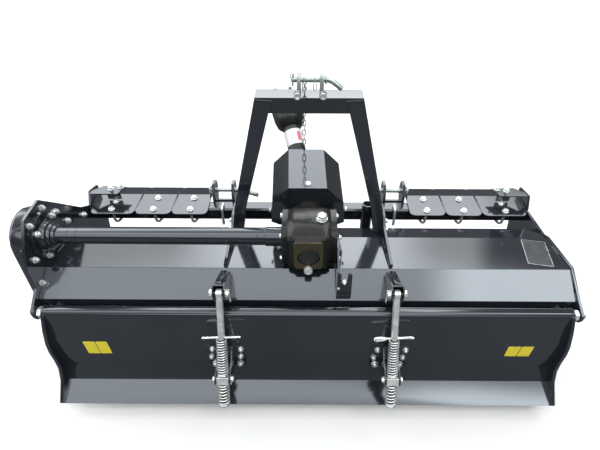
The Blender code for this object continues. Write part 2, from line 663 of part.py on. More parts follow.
def build_rotor():
    axis = holder("rotor_axis", (0, 0, ROTOR_Z), MACHINE)
    tube = turned((-INNER + 0.006, 0, ROTOR_Z), (1, 0, 0),
                  [(0, 0.030), (0.012, 0.030), (0.014, 0.060), (0.024, 0.060), (0.026, ROTOR_TUBE_R),
                   (2 * INNER - 0.038, ROTOR_TUBE_R), (2 * INNER - 0.036, 0.060), (2 * INNER - 0.026, 0.060),
                   (2 * INNER - 0.024, 0.030), (2 * INNER - 0.012, 0.030)], 20)
    node("rotor_tube", [tube], PAINT, parent=axis)
    for number in range(RING_COUNT):
        x = (number - (RING_COUNT - 1) / 2) * RING_STEP
        disc = turned((x - 0.005, 0, ROTOR_Z), (1, 0, 0), [(0, RING_R), (0.010, RING_R)], 18)
        bore_r = ROTOR_TUBE_R + GAP
        bore = turned((x - 0.03, 0, ROTOR_Z), (1, 0, 0), [(0, bore_r), (0.06, bore_r)], 20)
        adds = [disc]
        for index in range(TINES_A_RING):
            blade = tine(1 if index % 2 else -1)
            angle = math.tau * index / TINES_A_RING + math.radians(17 * number)
            blade.transform(Matrix.Translation((x, 0, ROTOR_Z)) @ Matrix.Rotation(angle, 4, "X"))
            adds.append(blade)
        node(f"tine_ring_{number + 1}", adds, STEEL, cuts=[bore], parent=axis)


# Tailgate

# An end plate of the tailgate as (Y, Z)
GATE_END = [(-0.166, 0.400), (-0.164, 0.424), (-0.176, 0.439), (-0.200, 0.438), (-0.215, 0.424),
            (-0.241, 0.372), (-0.257, 0.326), (-0.263, 0.285), (-0.262, 0.235), (-0.265, 0.188),
            (-0.284, 0.140), (-0.339, 0.078), (-0.328, 0.066), (-0.250, 0.098), (-0.216, 0.176),
            (-0.220, 0.312), (-0.196, 0.392)]


def build_tailgate():
    axis = holder("tailgate_axis", (0, HINGE_Y, HINGE_Z), MACHINE)
    roll = arc((HINGE_Y, HINGE_Z), ROLL_R, 65, 180, 5)
    line = roll + [(-0.2165, 0.392)] + GATE_LINE
    sheet = prism(strip(line, -0.004), "X", -GATE_SIDE + 0.002, GATE_SIDE - 0.002)
    ends = []
    holes = []
    for side in (-1, 1):
        ends.append(sided(prism(GATE_END, "X", GATE_SIDE - 0.012, GATE_SIDE), side))
        hole = rod((GATE_SIDE - 0.04, HINGE_Y, HINGE_Z), (GATE_SIDE + 0.02, HINGE_Y, HINGE_Z), 0.0112, 20)
        holes.append(sided(hole, side))
    node("tailgate_sheet", [sheet] + ends, PAINT, cuts=holes, parent=axis)
    for side, label in ((-1, "left"), (1, "right")):
        build_gate_bracket(side, label, axis)


ARM_GAP = 0.0215  # from the rod's axis to an arm's inner face
ARM_T = 0.006
# An arm as (Y, Z), and the base plate that it grows from
GATE_ARM = [(-0.2385, 0.296), (-0.256, 0.294), (-0.282, 0.270), (-0.322, 0.259), (-0.343, 0.252),
            (-0.350, 0.236), (-0.346, 0.220), (-0.334, 0.208), (-0.322, 0.207), (-0.300, 0.214),
            (-0.2385, 0.192)]
GATE_BASE = [(-0.2366, 0.302), (-0.2426, 0.302), (-0.2375, 0.180), (-0.2315, 0.180)]


def build_gate_bracket(side, label, axis):
    adds = [prism(GATE_BASE, "X", ROD_X - 0.066, ROD_X + 0.066)]
    for low in (ROD_X - ARM_GAP - ARM_T, ROD_X + ARM_GAP):
        adds.append(prism(GATE_ARM, "X", low, low + ARM_T))
    hole = rod((ROD_X - 0.05, *TRUNNION), (ROD_X + 0.05, *TRUNNION), 0.0085, 12)
    adds = [sided(shape, side) for shape in adds]
    node(f"gate_bracket_{label}", adds, PAINT, cuts=[sided(hole, side)], parent=axis)


# Spring rods

def spring(start, direction, length, radii, wire, turns, sides=3, steps=6):
    """A coil spring's wire round a line, from one radius to another."""
    direction = Vector(direction).normalized()
    across = direction.cross(Vector((1, 0, 0))).normalized()
    other = direction.cross(across)
    count = int(turns * steps)
    rings = []
    for index in range(count + 1):
        angle = math.tau * index / steps
        outward = math.cos(angle) * across + math.sin(angle) * other
        radius = radii[0] + (radii[1] - radii[0]) * index / count
        middle = Vector(start) + direction * (wire + (length - 2 * wire) * index / count) + outward * radius
        rings.append([middle + wire * (math.cos(a) * outward + math.sin(a) * direction)
                      for a in (math.tau * (corner + 0.5) / sides for corner in range(sides))])
    return loft(rings)


EYE_HALF = 0.0095  # half the thickness of a rod's flattened eye
T_BAR = 0.163  # from a rod's pin down to the cross pin over its upper spring
BLOCK_HALF = 0.0138  # half a trunnion block's height along the rod
UPPER_RADII, LOWER_RADII = (0.0167, 0.0184), (0.0176, 0.0176)  # of the springs, from their top to their foot


def build_rods():
    for side, label in ((-1, "left"), (1, "right")):
        top = Vector((side * ROD_X, *ROD_TOP))
        pivot = Vector((side * ROD_X, *TRUNNION))
        down = (pivot - top).normalized()
        to_block = (pivot - top).length
        axis = holder(f"rod_axis_{label}", top, MACHINE)
        eye = rod(top - Vector((EYE_HALF, 0, 0)), top + Vector((EYE_HALF, 0, 0)), 0.015, 16)
        bar = turned(top, down, [(0, ROD_R), (ROD_LENGTH - 0.004, ROD_R), (ROD_LENGTH, ROD_R - 0.003)], 12)
        bar_place = top + down * T_BAR
        reach = Vector((0.066, 0.0, 0.003))
        clip = rod(bar_place - reach, bar_place + reach, 0.0035, 8)
        cap = turned(top + down * (ROD_LENGTH - 0.012), down, [(0, 0.019), (0.004, 0.019)], 12)
        hole = rod(top - Vector((0.03, 0, 0)), top + Vector((0.03, 0, 0)), 0.0082, 12)
        node(f"spring_rod_{label}", [bar, eye, clip, cap], ZINC, cuts=[hole], parent=axis)
        upper_start = T_BAR + 0.0045
        upper_length = to_block - upper_start - BLOCK_HALF - 0.0015
        upper = spring(top + down * upper_start, down, upper_length, UPPER_RADII, 0.0022, 15)
        node(f"upper_spring_{label}", [upper], ZINC, parent=axis)
        lower_start = to_block + BLOCK_HALF + 0.0015
        lower_length = ROD_LENGTH - 0.0125 - lower_start
        lower = spring(top + down * lower_start, down, lower_length, LOWER_RADII, 0.0024, 7)
        node(f"lower_spring_{label}", [lower], ZINC, parent=axis)
        build_trunnion(side, label, pivot, down)
        build_rod_bracket(side, label)


def build_trunnion(side, label, pivot, down):
    axis = holder(f"trunnion_axis_{label}", pivot, bpy.data.objects["tailgate_axis"])
    across = Vector((1, 0, 0))
    other = down.cross(across).normalized()
    rings = []
    for along in (-BLOCK_HALF, BLOCK_HALF):
        rings.append([pivot + down * along + across * a * 0.0208 + other * b * 0.019 for a, b in CORNERS])
    body = loft(rings)
    pin = rod(pivot - across * 0.034, pivot + across * 0.034, 0.0075, 12)
    bore = turned(pivot - down * 0.03, down, [(0, ROD_R + 0.0022), (0.06, ROD_R + 0.0022)], 16)
    node(f"trunnion_{label}", [body, pin], ZINC, cuts=[bore], parent=axis)


# The channel on the hood's rear slope, in (Y, Z): web, cheeks (the inner one is taller) and gusset
WEB = [(-0.1140, 0.4735), (-0.1210, 0.4780), (-0.1907, 0.5580), (-0.1872, 0.5615)]
CHEEK_REAR = [(-0.152, hood_top(-0.152) + GAP), (-0.160, 0.4460), (-0.190, 0.478), (-0.208, 0.508),
              (-0.2105, 0.530), (-0.205, 0.546), (-0.1925, 0.5600), (-0.1875, 0.5630)]
CHEEKS = [(-0.0215, [(-0.078, hood_top(-0.078) + GAP)] + CHEEK_REAR + [(-0.160, 0.556), (-0.086, 0.519)]),
          (0.0165, [(-0.1120, hood_top(-0.1120) + GAP)] + CHEEK_REAR)]
CHEEK_T = 0.005
GUSSET = [(-0.070, 0.5010), (-0.1130, 0.4745), (-0.158, 0.5235), (-0.174, 0.5430), (-0.166, 0.5530),
          (-0.100, 0.5215), (-0.070, 0.508)]


def build_rod_bracket(side, label):
    """A channel open to the rear, a gusset behind it up the hood, and the pin that carries the rod."""
    adds = [prism(outline, "X", ROD_X + low, ROD_X + low + CHEEK_T) for low, outline in CHEEKS]
    adds.append(prism(WEB, "X", ROD_X + CHEEKS[0][0] + 0.001, ROD_X + CHEEKS[1][0] + CHEEK_T - 0.001))
    adds.append(prism(GUSSET, "X", ROD_X - 0.006, ROD_X + 0.015))
    adds.append(rod((ROD_X - 0.033, *ROD_TOP), (ROD_X + 0.033, *ROD_TOP), 0.0075, 12))
    node(f"rod_bracket_{label}", [sided(shape, side) for shape in adds], PAINT)


build_hood()
build_side_plates()
build_beam()
build_guards()
build_wings()
build_skids()
build_drive()
build_chain_case()
build_bearing_hub()
build_gearbox()
build_notch_bracket()
build_tunnel()
build_driveline()
build_yoke()
build_mast()
build_top_link()
build_hitch()
build_stand()
build_chain()
build_rotor()
build_tailgate()
build_rods()
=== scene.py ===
"""The finish of the rotary tiller: paint, zinc, castings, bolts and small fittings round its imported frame."""

import json
import math

import bmesh
import bpy
from mathutils import Matrix, Vector


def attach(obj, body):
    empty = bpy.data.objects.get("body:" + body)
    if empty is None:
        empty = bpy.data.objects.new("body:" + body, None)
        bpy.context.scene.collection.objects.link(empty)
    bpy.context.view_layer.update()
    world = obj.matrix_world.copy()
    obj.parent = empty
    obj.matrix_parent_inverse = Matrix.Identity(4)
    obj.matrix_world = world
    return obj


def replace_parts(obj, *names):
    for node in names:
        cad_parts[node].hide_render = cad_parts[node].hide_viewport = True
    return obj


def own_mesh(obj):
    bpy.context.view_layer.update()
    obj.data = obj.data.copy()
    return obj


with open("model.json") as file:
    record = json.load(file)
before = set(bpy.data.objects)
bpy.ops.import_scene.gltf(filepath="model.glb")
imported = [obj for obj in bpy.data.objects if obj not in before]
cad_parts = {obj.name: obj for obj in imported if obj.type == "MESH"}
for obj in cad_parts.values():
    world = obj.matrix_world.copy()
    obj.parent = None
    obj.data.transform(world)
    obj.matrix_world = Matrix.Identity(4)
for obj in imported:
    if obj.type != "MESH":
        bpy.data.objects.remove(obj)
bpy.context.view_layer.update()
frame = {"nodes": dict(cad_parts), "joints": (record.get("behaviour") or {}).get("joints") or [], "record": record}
NODES = frame["nodes"]
BODY_OF = {name: body for body, names in frame["record"]["behaviour"]["bodies"].items() for name in names}
SLOT_OF = {row["node"]: row["material_slot"] for row in frame["record"]["subparts"]}

# The machine's own places are measured from the rotor's axis, as its builder would measure them
ROTOR = next(Vector(joint["pos_m"]) for joint in frame["joints"] if joint["name"] == "rotor_spin")
ROTOR_Z = 0.232  # height of its axis
DRIVE_AXIS = (0.009, 0.600)  # y and z of the gearbox's and the drive tube's axis


def at(x, y, z):
    """A place given from the centreline, the rotor's axis and the ground."""
    return Vector((x, y + ROTOR.y, z))


# Camera, light and floor

CAMERA_PLACE = at(0.0, -1.175, 1.630)
CAMERA_PITCH = 39.5  # degrees below the horizon
FOCAL_PX, FRAME_PX = 440.0, 600.0
CENTRE_PX = (308.5, 225.0)
CAMERA_ROLL = 0.32  # degrees
SENSOR = 36.0  # mm
CLIP_NEAR, CLIP_FAR = 0.02, 60.0


def add_camera():
    """The camera where the photographer's stood, square to the machine's rear and looking down."""
    data = bpy.data.cameras.new("camera")
    data.sensor_width = SENSOR
    data.lens = SENSOR * FOCAL_PX / FRAME_PX
    data.shift_x = -(CENTRE_PX[0] - FRAME_PX / 2) / FRAME_PX
    data.clip_start, data.clip_end = CLIP_NEAR, CLIP_FAR
    camera = bpy.data.objects.new("camera", data)
    camera.location = CAMERA_PLACE
    pitch = Matrix.Rotation(math.radians(90 - CAMERA_PITCH), 4, "X")
    roll = Matrix.Rotation(math.radians(CAMERA_ROLL), 4, "Z")
    camera.rotation_euler = (pitch @ roll).to_euler()
    bpy.context.scene.collection.objects.link(camera)
    bpy.context.scene.camera = camera


def wire(tree, *pairs):
    """Links from outputs to inputs, in pairs."""
    for source, target in pairs:
        tree.links.new(source, target)


def maths(tree, operation, *inputs):
    """A Math node. Each input is a number or another node's output."""
    made = tree.nodes.new("ShaderNodeMath")
    made.operation = operation
    for index, value in enumerate(inputs):
        if isinstance(value, (int, float)):
            made.inputs[index].default_value = value
        else:
            tree.links.new(value, made.inputs[index])
    return made.outputs[0]


def ramp(tree, value, low, high, out_low=0.0, out_high=1.0):
    """A smooth step from one output level to another, between two values of its input."""
    made = tree.nodes.new("ShaderNodeMapRange")
    made.interpolation_type = "SMOOTHSTEP"
    made.inputs["From Min"].default_value = low
    made.inputs["From Max"].default_value = high
    made.inputs["To Min"].default_value = out_low
    made.inputs["To Max"].default_value = out_high
    tree.links.new(value, made.inputs["Value"])
    return made.outputs["Result"]


# Soft lights in the studio dome. A direction leans to the right by x, to the front by y and up by z:
# (low x, high x, low y, high y, low z, high z, softness, strength)
SOFT_LIGHTS = [
    (-0.62, 0.56, 0.05, 1.20, 0.53, 0.86, 0.12, 3.9),
    (-0.24, 0.22, 0.05, 1.20, 0.26, 0.54, 0.14, 2.9),
    (-0.90, 0.365, 0.05, 1.20, 0.40, 0.54, 0.05, 1.8),
    (-0.54, 0.32, -0.44, -0.15, 0.55, 1.20, 0.14, 3.2),
    (0.30, 0.62, -0.44, -0.15, 0.55, 1.20, 0.12, 7.6),
    (-0.70, 0.62, -0.12, 0.50, 0.60, 1.20, 0.20, 1.2),
    (-1.20, -0.66, -0.40, 0.80, 0.12, 0.60, 0.14, 2.4),
    (-0.70, 0.70, -1.10, -0.46, 0.42, 0.90, 0.16, 2.3),
]
DOME, LOW_DOME = 0.20, 0.16  # the dome's own level overhead and at the horizon
DOME_RISE = 0.5  # how far up it reaches the overhead level
DOME_TINT = (0.97, 0.985, 1.0, 1.0)


def add_sky():
    """A dim studio dome with large soft lights in it, and plain white where the camera sees it."""
    world = bpy.data.worlds.new("studio_dome")
    bpy.context.scene.world = world
    world.use_nodes = True
    tree = world.node_tree
    background = tree.nodes["Background"]
    coordinate = tree.nodes.new("ShaderNodeTexCoord")
    parts = tree.nodes.new("ShaderNodeSeparateXYZ")
    wire(tree, (coordinate.outputs["Generated"], parts.inputs[0]))
    x, y, z = parts.outputs
    level = ramp(tree, z, 0.0, DOME_RISE, LOW_DOME, DOME)
    for low_x, high_x, low_y, high_y, low_z, high_z, soft, strength in SOFT_LIGHTS:
        lit = None
        for value, low, high in ((x, low_x, high_x), (y, low_y, high_y), (z, low_z, high_z)):
            away = maths(tree, "ABSOLUTE", maths(tree, "SUBTRACT", value, (low + high) / 2))
            mask = ramp(tree, away, (high - low - soft) / 2, (high - low + soft) / 2, 1.0, 0.0)
            lit = mask if lit is None else maths(tree, "MULTIPLY", lit, mask)
        level = maths(tree, "MULTIPLY_ADD", lit, strength, level)
    seen = tree.nodes.new("ShaderNodeLightPath").outputs["Is Camera Ray"]
    level = maths(tree, "MULTIPLY_ADD", seen, maths(tree, "SUBTRACT", 1.0, level), level)
    wire(tree, (level, background.inputs["Strength"]))
    background.inputs["Color"].default_value = DOME_TINT


FLOOR_HALF = 14.0
FLOOR_PALE = ((0.66, 0.66, 0.66), (0.69, 0.69, 0.69))
FLOOR_PAINTED_REFLECTION = (0.13, 0.135, 0.14)  # painted reflection: the dark colour the floor shows to every ray but the camera's, which the paint mirrors


def add_floor():
    """A plain pale floor that keeps the shadow. To every ray but the camera's it is dark: a painted dark
    reflection in the paint.
    """
    shape = bmesh.new()
    square = ((-1, -1), (1, -1), (1, 1), (-1, 1))
    shape.faces.new([shape.verts.new((x * FLOOR_HALF, y * FLOOR_HALF, 0.0)) for x, y in square])
    floor = mesh_object("studio_floor", shape)
    material = bpy.data.materials.new("studio_floor")
    material.use_nodes = True
    tree = material.node_tree
    shader = tree.nodes["Principled BSDF"]
    shader.inputs["Roughness"].default_value = 0.9
    shader.inputs["Specular IOR Level"].default_value = 0.1
    noise = tree.nodes.new("ShaderNodeTexNoise")
    noise.inputs["Scale"].default_value = 3.0
    pale = colour_mix(tree, noise.outputs["Fac"], *FLOOR_PALE)
    seen = tree.nodes.new("ShaderNodeLightPath").outputs["Is Camera Ray"]
    # Painted reflection: the floor turns dark for every ray but the camera's, so the paint mirrors a dark floor
    wire(tree, (colour_mix(tree, seen, FLOOR_PAINTED_REFLECTION, pale), shader.inputs["Base Color"]))
    floor.data.materials.append(material)


# Meshes

def mesh_object(name, shape, smooth_angle=None):
    """An object from a bmesh, shaded smooth up to an angle in degrees where one is given."""
    mesh = bpy.data.meshes.new(name)
    shape.to_mesh(mesh)
    shape.free()
    if smooth_angle is not None:
        mesh.shade_smooth()
        mesh.set_sharp_from_angle(angle=math.radians(smooth_angle))
    made = bpy.data.objects.new(name, mesh)
    bpy.context.scene.collection.objects.link(made)
    return made


def colour_mix(tree, factor, low, high):
    """A blend of two colours, each a triple or another node's output."""
    made = tree.nodes.new("ShaderNodeMix")
    made.data_type = "RGBA"
    tree.links.new(factor, made.inputs["Factor"])
    for socket, value in ((made.inputs["A"], low), (made.inputs["B"], high)):
        if isinstance(value, tuple):
            socket.default_value = (*value, 1.0) if len(value) == 3 else value
        else:
            tree.links.new(value, socket)
    return made.outputs["Result"]


# Effects that several finishes share

FLOAT = "NodeSocketFloat"


def effect(name, inputs, outputs):
    """An empty shader group with its sockets: (name, default) rows in and names out."""
    group = bpy.data.node_groups.new(name, "ShaderNodeTree")
    for label, value in inputs:
        group.interface.new_socket(name=label, in_out="INPUT", socket_type=FLOAT).default_value = value
    for label in outputs:
        group.interface.new_socket(name=label, in_out="OUTPUT", socket_type=FLOAT)
    return group, group.nodes.new("NodeGroupInput"), group.nodes.new("NodeGroupOutput")


def speckle_effect():
    """Cloudy and speckled masks, for dust, grain and uneven colour, from the object's own coordinates."""
    group, start, end = effect("speckle", [("Scale", 10.0), ("Detail", 4.0), ("Low", 0.4), ("High", 0.6)],
                               ["Mask", "Raw"])
    place = group.nodes.new("ShaderNodeTexCoord")
    noise = group.nodes.new("ShaderNodeTexNoise")
    clip = group.nodes.new("ShaderNodeMapRange")
    wire(group,
         (place.outputs["Object"], noise.inputs["Vector"]), (start.outputs["Scale"], noise.inputs["Scale"]),
         (start.outputs["Detail"], noise.inputs["Detail"]), (noise.outputs["Fac"], clip.inputs["Value"]),
         (start.outputs["Low"], clip.inputs["From Min"]), (start.outputs["High"], clip.inputs["From Max"]),
         (clip.outputs["Result"], end.inputs["Mask"]), (noise.outputs["Fac"], end.inputs["Raw"]))
    return group


def edge_effect():
    """A mask that is 1 along outer edges, broken up by noise."""
    group, start, end = effect("worn_edge", [("Width", 0.002), ("Breakup", 60.0)], ["Mask"])
    bevel = group.nodes.new("ShaderNodeBevel")
    bevel.samples = 4
    true_normal = group.nodes.new("ShaderNodeNewGeometry")
    dot = group.nodes.new("ShaderNodeVectorMath")
    dot.operation = "DOT_PRODUCT"
    wire(group, (start.outputs["Width"], bevel.inputs["Radius"]), (bevel.outputs[0], dot.inputs[0]),
         (true_normal.outputs["Normal"], dot.inputs[1]))
    edge = ramp(group, dot.outputs["Value"], 0.995, 0.90)
    place = group.nodes.new("ShaderNodeTexCoord")
    noise = group.nodes.new("ShaderNodeTexNoise")
    noise.inputs["Detail"].default_value = 6.0
    wire(group, (place.outputs["Object"], noise.inputs["Vector"]),
         (start.outputs["Breakup"], noise.inputs["Scale"]))
    broken = ramp(group, noise.outputs["Fac"], 0.45, 0.62)
    wire(group, (maths(group, "MULTIPLY", edge, broken), end.inputs["Mask"]))
    return group


SPECKLE = speckle_effect()
WORN_EDGE = edge_effect()


def use(tree, group, **values):
    """A shared effect in a material, with its inputs set."""
    made = tree.nodes.new("ShaderNodeGroup")
    made.node_tree = group
    for name, value in values.items():
        made.inputs[name].default_value = value
    return made


def new_material(name, **plain):
    """A material and its Principled shader, with plain values on the shader's own sockets."""
    material = bpy.data.materials.new(name)
    material.use_nodes = True
    shader = material.node_tree.nodes["Principled BSDF"]
    for label, value in plain.items():
        socket = shader.inputs[label.replace("_", " ")]
        socket.default_value = (*value, 1.0) if isinstance(value, tuple) else value
    return material, material.node_tree, shader


def bump_from(tree, shader, height, strength, distance):
    """Fine relief from a height, into the shader's normal."""
    bump = tree.nodes.new("ShaderNodeBump")
    bump.inputs["Strength"].default_value = strength
    bump.inputs["Distance"].default_value = distance
    wire(tree, (height, bump.inputs["Height"]), (bump.outputs["Normal"], shader.inputs["Normal"]))


def grey_paint():
    """Glossy anthracite paint: nearly black, with a blue-grey sheen, orange peel, dust and worn edges."""
    material, tree, shader = new_material("anthracite_paint", Metallic=0.0, Coat_Weight=0.30,
                                          Coat_Roughness=0.05, Specular_Tint=(0.84, 0.93, 1.0))
    shader.inputs["Specular IOR Level"].default_value = 0.80
    cloud = use(tree, SPECKLE, Scale=2.6, Detail=5.0, Low=0.35, High=0.68)
    dust = use(tree, SPECKLE, Scale=70.0, Detail=8.0, Low=0.64, High=0.76)
    edge = use(tree, WORN_EDGE, Width=0.0018, Breakup=45.0)
    base = colour_mix(tree, cloud.outputs["Mask"], (0.010, 0.012, 0.016), (0.015, 0.018, 0.023))
    dusty = colour_mix(tree, maths(tree, "MULTIPLY", dust.outputs["Mask"], 0.10), base, (0.10, 0.10, 0.10))
    worn = colour_mix(tree, maths(tree, "MULTIPLY", edge.outputs["Mask"], 0.30), dusty, (0.20, 0.21, 0.23))
    wire(tree, (worn, shader.inputs["Base Color"]))
    rough = maths(tree, "MULTIPLY_ADD", cloud.outputs["Mask"], 0.05, 0.085)
    wire(tree, (maths(tree, "MULTIPLY_ADD", dust.outputs["Mask"], 0.14, rough), shader.inputs["Roughness"]))
    peel = use(tree, SPECKLE, Scale=120.0, Detail=2.0, Low=0.0, High=1.0)
    bump_from(tree, shader, peel.outputs["Raw"], 0.06, 0.0006)
    return material


def zinc_plate(name, dark, light, worn):
    """Zinc plate with a faint green cast, clouded and brighter at its edges."""
    material, tree, shader = new_material(name, Metallic=0.72)
    cloud = use(tree, SPECKLE, Scale=38.0, Detail=6.0, Low=0.35, High=0.66)
    edge = use(tree, WORN_EDGE, Width=0.0010, Breakup=90.0)
    base = colour_mix(tree, cloud.outputs["Mask"], dark, light)
    wire(tree, (colour_mix(tree, edge.outputs["Mask"], base, worn), shader.inputs["Base Color"]),
         (maths(tree, "MULTIPLY_ADD", cloud.outputs["Mask"], 0.14, 0.20), shader.inputs["Roughness"]))
    bump_from(tree, shader, cloud.outputs["Raw"], 0.12, 0.0008)
    return material


def cast_iron():
    """Black-painted sand casting: coarse grain under gloss, with an olive-brown bloom of oil and rust."""
    material, tree, shader = new_material("cast_iron_black", Metallic=0.0, Coat_Weight=0.22,
                                          Coat_Roughness=0.07)
    shader.inputs["Specular IOR Level"].default_value = 0.16
    grain = use(tree, SPECKLE, Scale=150.0, Detail=4.0, Low=0.38, High=0.66)
    pits = use(tree, SPECKLE, Scale=420.0, Detail=2.0, Low=0.40, High=0.62)
    cloud = use(tree, SPECKLE, Scale=13.0, Detail=6.0, Low=0.44, High=0.62)
    edge = use(tree, WORN_EDGE, Width=0.004, Breakup=55.0)
    base = colour_mix(tree, grain.outputs["Mask"], (0.006, 0.007, 0.007), (0.016, 0.017, 0.017))
    stain = maths(tree, "MULTIPLY", cloud.outputs["Mask"], 0.30)
    bloom = colour_mix(tree, stain, base, (0.018, 0.017, 0.013))
    parts = tree.nodes.new("ShaderNodeSeparateXYZ")
    wire(tree, (tree.nodes.new("ShaderNodeTexCoord").outputs["Object"], parts.inputs[0]))
    rear = ramp(tree, parts.outputs["Y"], ROTOR.y - 0.108, ROTOR.y - 0.100, 0.85, 0.0)  # the boss's bare face
    boss = colour_mix(tree, rear, bloom, (0.055, 0.046, 0.022))
    worn = colour_mix(tree, maths(tree, "MULTIPLY", edge.outputs["Mask"], 0.16), boss, (0.10, 0.10, 0.09))
    rough = maths(tree, "MULTIPLY_ADD", pits.outputs["Mask"], 0.16, 0.20)
    wire(tree, (worn, shader.inputs["Base Color"]), (rough, shader.inputs["Roughness"]))
    height = maths(tree, "MULTIPLY_ADD", pits.outputs["Raw"], 0.35, grain.outputs["Raw"])
    bump_from(tree, shader, height, 0.32, 0.0016)
    return material


def forged_steel():
    """Forged tine steel: blue-black scale, wiped bright along the edges."""
    material, tree, shader = new_material("forged_steel", Metallic=0.85)
    scale = use(tree, SPECKLE, Scale=28.0, Detail=7.0, Low=0.42, High=0.62)
    edge = use(tree, WORN_EDGE, Width=0.003, Breakup=60.0)
    base = colour_mix(tree, scale.outputs["Mask"], (0.07, 0.07, 0.075), (0.15, 0.14, 0.13))
    worn = colour_mix(tree, edge.outputs["Mask"], base, (0.38, 0.38, 0.38))
    rough = maths(tree, "MULTIPLY_ADD", scale.outputs["Mask"], 0.22, 0.34)
    wire(tree, (worn, shader.inputs["Base Color"]), (rough, shader.inputs["Roughness"]))
    bump_from(tree, shader, scale.outputs["Raw"], 0.30, 0.0015)
    return material


def black_plastic():
    """Moulded black plastic with a fine grain and a little handling dust."""
    material, tree, shader = new_material("black_plastic", Metallic=0.0)
    grain = use(tree, SPECKLE, Scale=300.0, Detail=2.0, Low=0.3, High=0.7)
    cloud = use(tree, SPECKLE, Scale=9.0, Detail=5.0, Low=0.42, High=0.66)
    wire(tree, (colour_mix(tree, cloud.outputs["Mask"], (0.010, 0.012, 0.011), (0.026, 0.029, 0.027)),
                shader.inputs["Base Color"]),
         (maths(tree, "MULTIPLY_ADD", cloud.outputs["Mask"], 0.14, 0.34), shader.inputs["Roughness"]))
    bump_from(tree, shader, grain.outputs["Raw"], 0.08, 0.0004)
    return material


def film(name, clean, dirty):
    """A thin stuck-on film, slightly glossy, dusted and scuffed."""
    material, tree, shader = new_material(name, Metallic=0.0, Coat_Weight=0.2, Coat_Roughness=0.15)
    dust = use(tree, SPECKLE, Scale=60.0, Detail=6.0, Low=0.50, High=0.72)
    scuff = use(tree, SPECKLE, Scale=240.0, Detail=3.0, Low=0.58, High=0.70)
    dusty = maths(tree, "MULTIPLY", dust.outputs["Mask"], 0.5)
    mask = maths(tree, "MULTIPLY_ADD", scuff.outputs["Mask"], 0.25, dusty)
    wire(tree, (colour_mix(tree, mask, clean, dirty), shader.inputs["Base Color"]),
         (maths(tree, "MULTIPLY_ADD", mask, 0.25, 0.28), shader.inputs["Roughness"]))
    bump_from(tree, shader, scuff.outputs["Raw"], 0.05, 0.0003)
    return material


FINISH = {
    "grey_paint": grey_paint(),
    "zinc_plate": zinc_plate("zinc_plate", (0.66, 0.70, 0.68), (0.88, 0.91, 0.89), (0.94, 0.95, 0.94)),
    "dull_zinc": zinc_plate("dull_zinc", (0.32, 0.37, 0.355), (0.48, 0.53, 0.51), (0.60, 0.64, 0.62)),
    "cast_iron": cast_iron(),
    "bare_steel": forged_steel(),
    "black_plastic": black_plastic(),
    "yellow_film": film("yellow_film", (0.90, 0.76, 0.035), (0.60, 0.49, 0.06)),
    "white_film": film("white_film", (0.80, 0.78, 0.78), (0.55, 0.52, 0.52)),
    "red_film": film("red_film", (0.72, 0.16, 0.20), (0.60, 0.34, 0.36)),
    "plate_face": film("plate_face", (0.016, 0.019, 0.022), (0.045, 0.050, 0.055)),
}


# Each rigid node again, with its hard edges rounded

EDGE_ROUNDING = 0.0011
SMOOTH_ANGLE, HARD_ANGLE = 32, 34  # degrees: shaded smooth up to the first, and rounded from the second

# Where the photo shows another finish than the node's own slot
OTHER_FINISH = {"drive_tube": "grey_paint", "stand_leg": "grey_paint", "top_link_ear_left": "dull_zinc",
                "top_link_ear_right": "dull_zinc", "top_link_pin": "dull_zinc", "hitch_pin_left": "dull_zinc",
                "hitch_pin_right": "dull_zinc"}


def softened(name):
    """A node's own shape with rounded edges and its finish, in the node's stead."""
    shape = bmesh.new()
    shape.from_mesh(NODES[name].data)
    bmesh.ops.remove_doubles(shape, verts=shape.verts, dist=0.00002)
    bmesh.ops.dissolve_limit(shape, angle_limit=math.radians(0.6), verts=shape.verts, edges=shape.edges)
    piece = mesh_object(name + "_finished", shape, SMOOTH_ANGLE)
    slot = OTHER_FINISH.get(name, SLOT_OF[name])
    piece.data.materials.append(FINISH[slot])
    bevel = piece.modifiers.new("rounded_edges", "BEVEL")
    bevel.width = EDGE_ROUNDING
    bevel.segments = 2
    bevel.limit_method = "ANGLE"
    bevel.angle_limit = math.radians(HARD_ANGLE)
    bevel.use_clamp_overlap = True
    bevel.harden_normals = True
    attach(piece, BODY_OF[name])
    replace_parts(piece, name)


# Made again further down, with fine wire
WIRE_NODES = {"guard_chain", "upper_spring_left", "upper_spring_right", "lower_spring_left",
              "lower_spring_right"}

for node_name in NODES:
    if node_name not in WIRE_NODES:
        softened(node_name)


# Shapes for the small fittings, each added to one mesh

def add_loft(shape, rings, closed=False):
    """Faces from ring to ring of points, closed by end faces or by joining the last ring to the first."""
    rows = [[shape.verts.new(point) for point in ring] for ring in rings]
    pairs = list(zip(rows, rows[1:]))
    if closed:
        pairs.append((rows[-1], rows[0]))
    else:
        shape.faces.new(rows[0][::-1])
        shape.faces.new(rows[-1])
    for before, after in pairs:
        for index in range(len(before)):
            follow = (index + 1) % len(before)
            shape.faces.new((before[index], before[follow], after[follow], after[index]))


def across_of(axis):
    """Two directions square to an axis: the first level where it can be."""
    side = axis.cross(Vector((0, 0, 1)))
    side = side.normalized() if side.length > 0.05 else Vector((1, 0, 0))
    return side, axis.cross(side).normalized()


def add_turned(shape, place, axis, profile, sides=24, corners=0, spin=0.0):
    """A turned body along an axis from (distance, radius) rows. With corners, the radius is to a flat."""
    axis = Vector(axis).normalized()
    side, up = across_of(axis)
    rings = []
    for along, radius in profile:
        ring = []
        for index in range(sides):
            angle = math.tau * index / sides + spin
            reach = radius
            if corners:
                part = math.tau / corners
                reach = radius / math.cos((angle - spin) % part - part / 2)
            out = side * math.cos(angle) + up * math.sin(angle)
            ring.append(Vector(place) + axis * along + out * reach)
        rings.append(ring)
    add_loft(shape, rings)


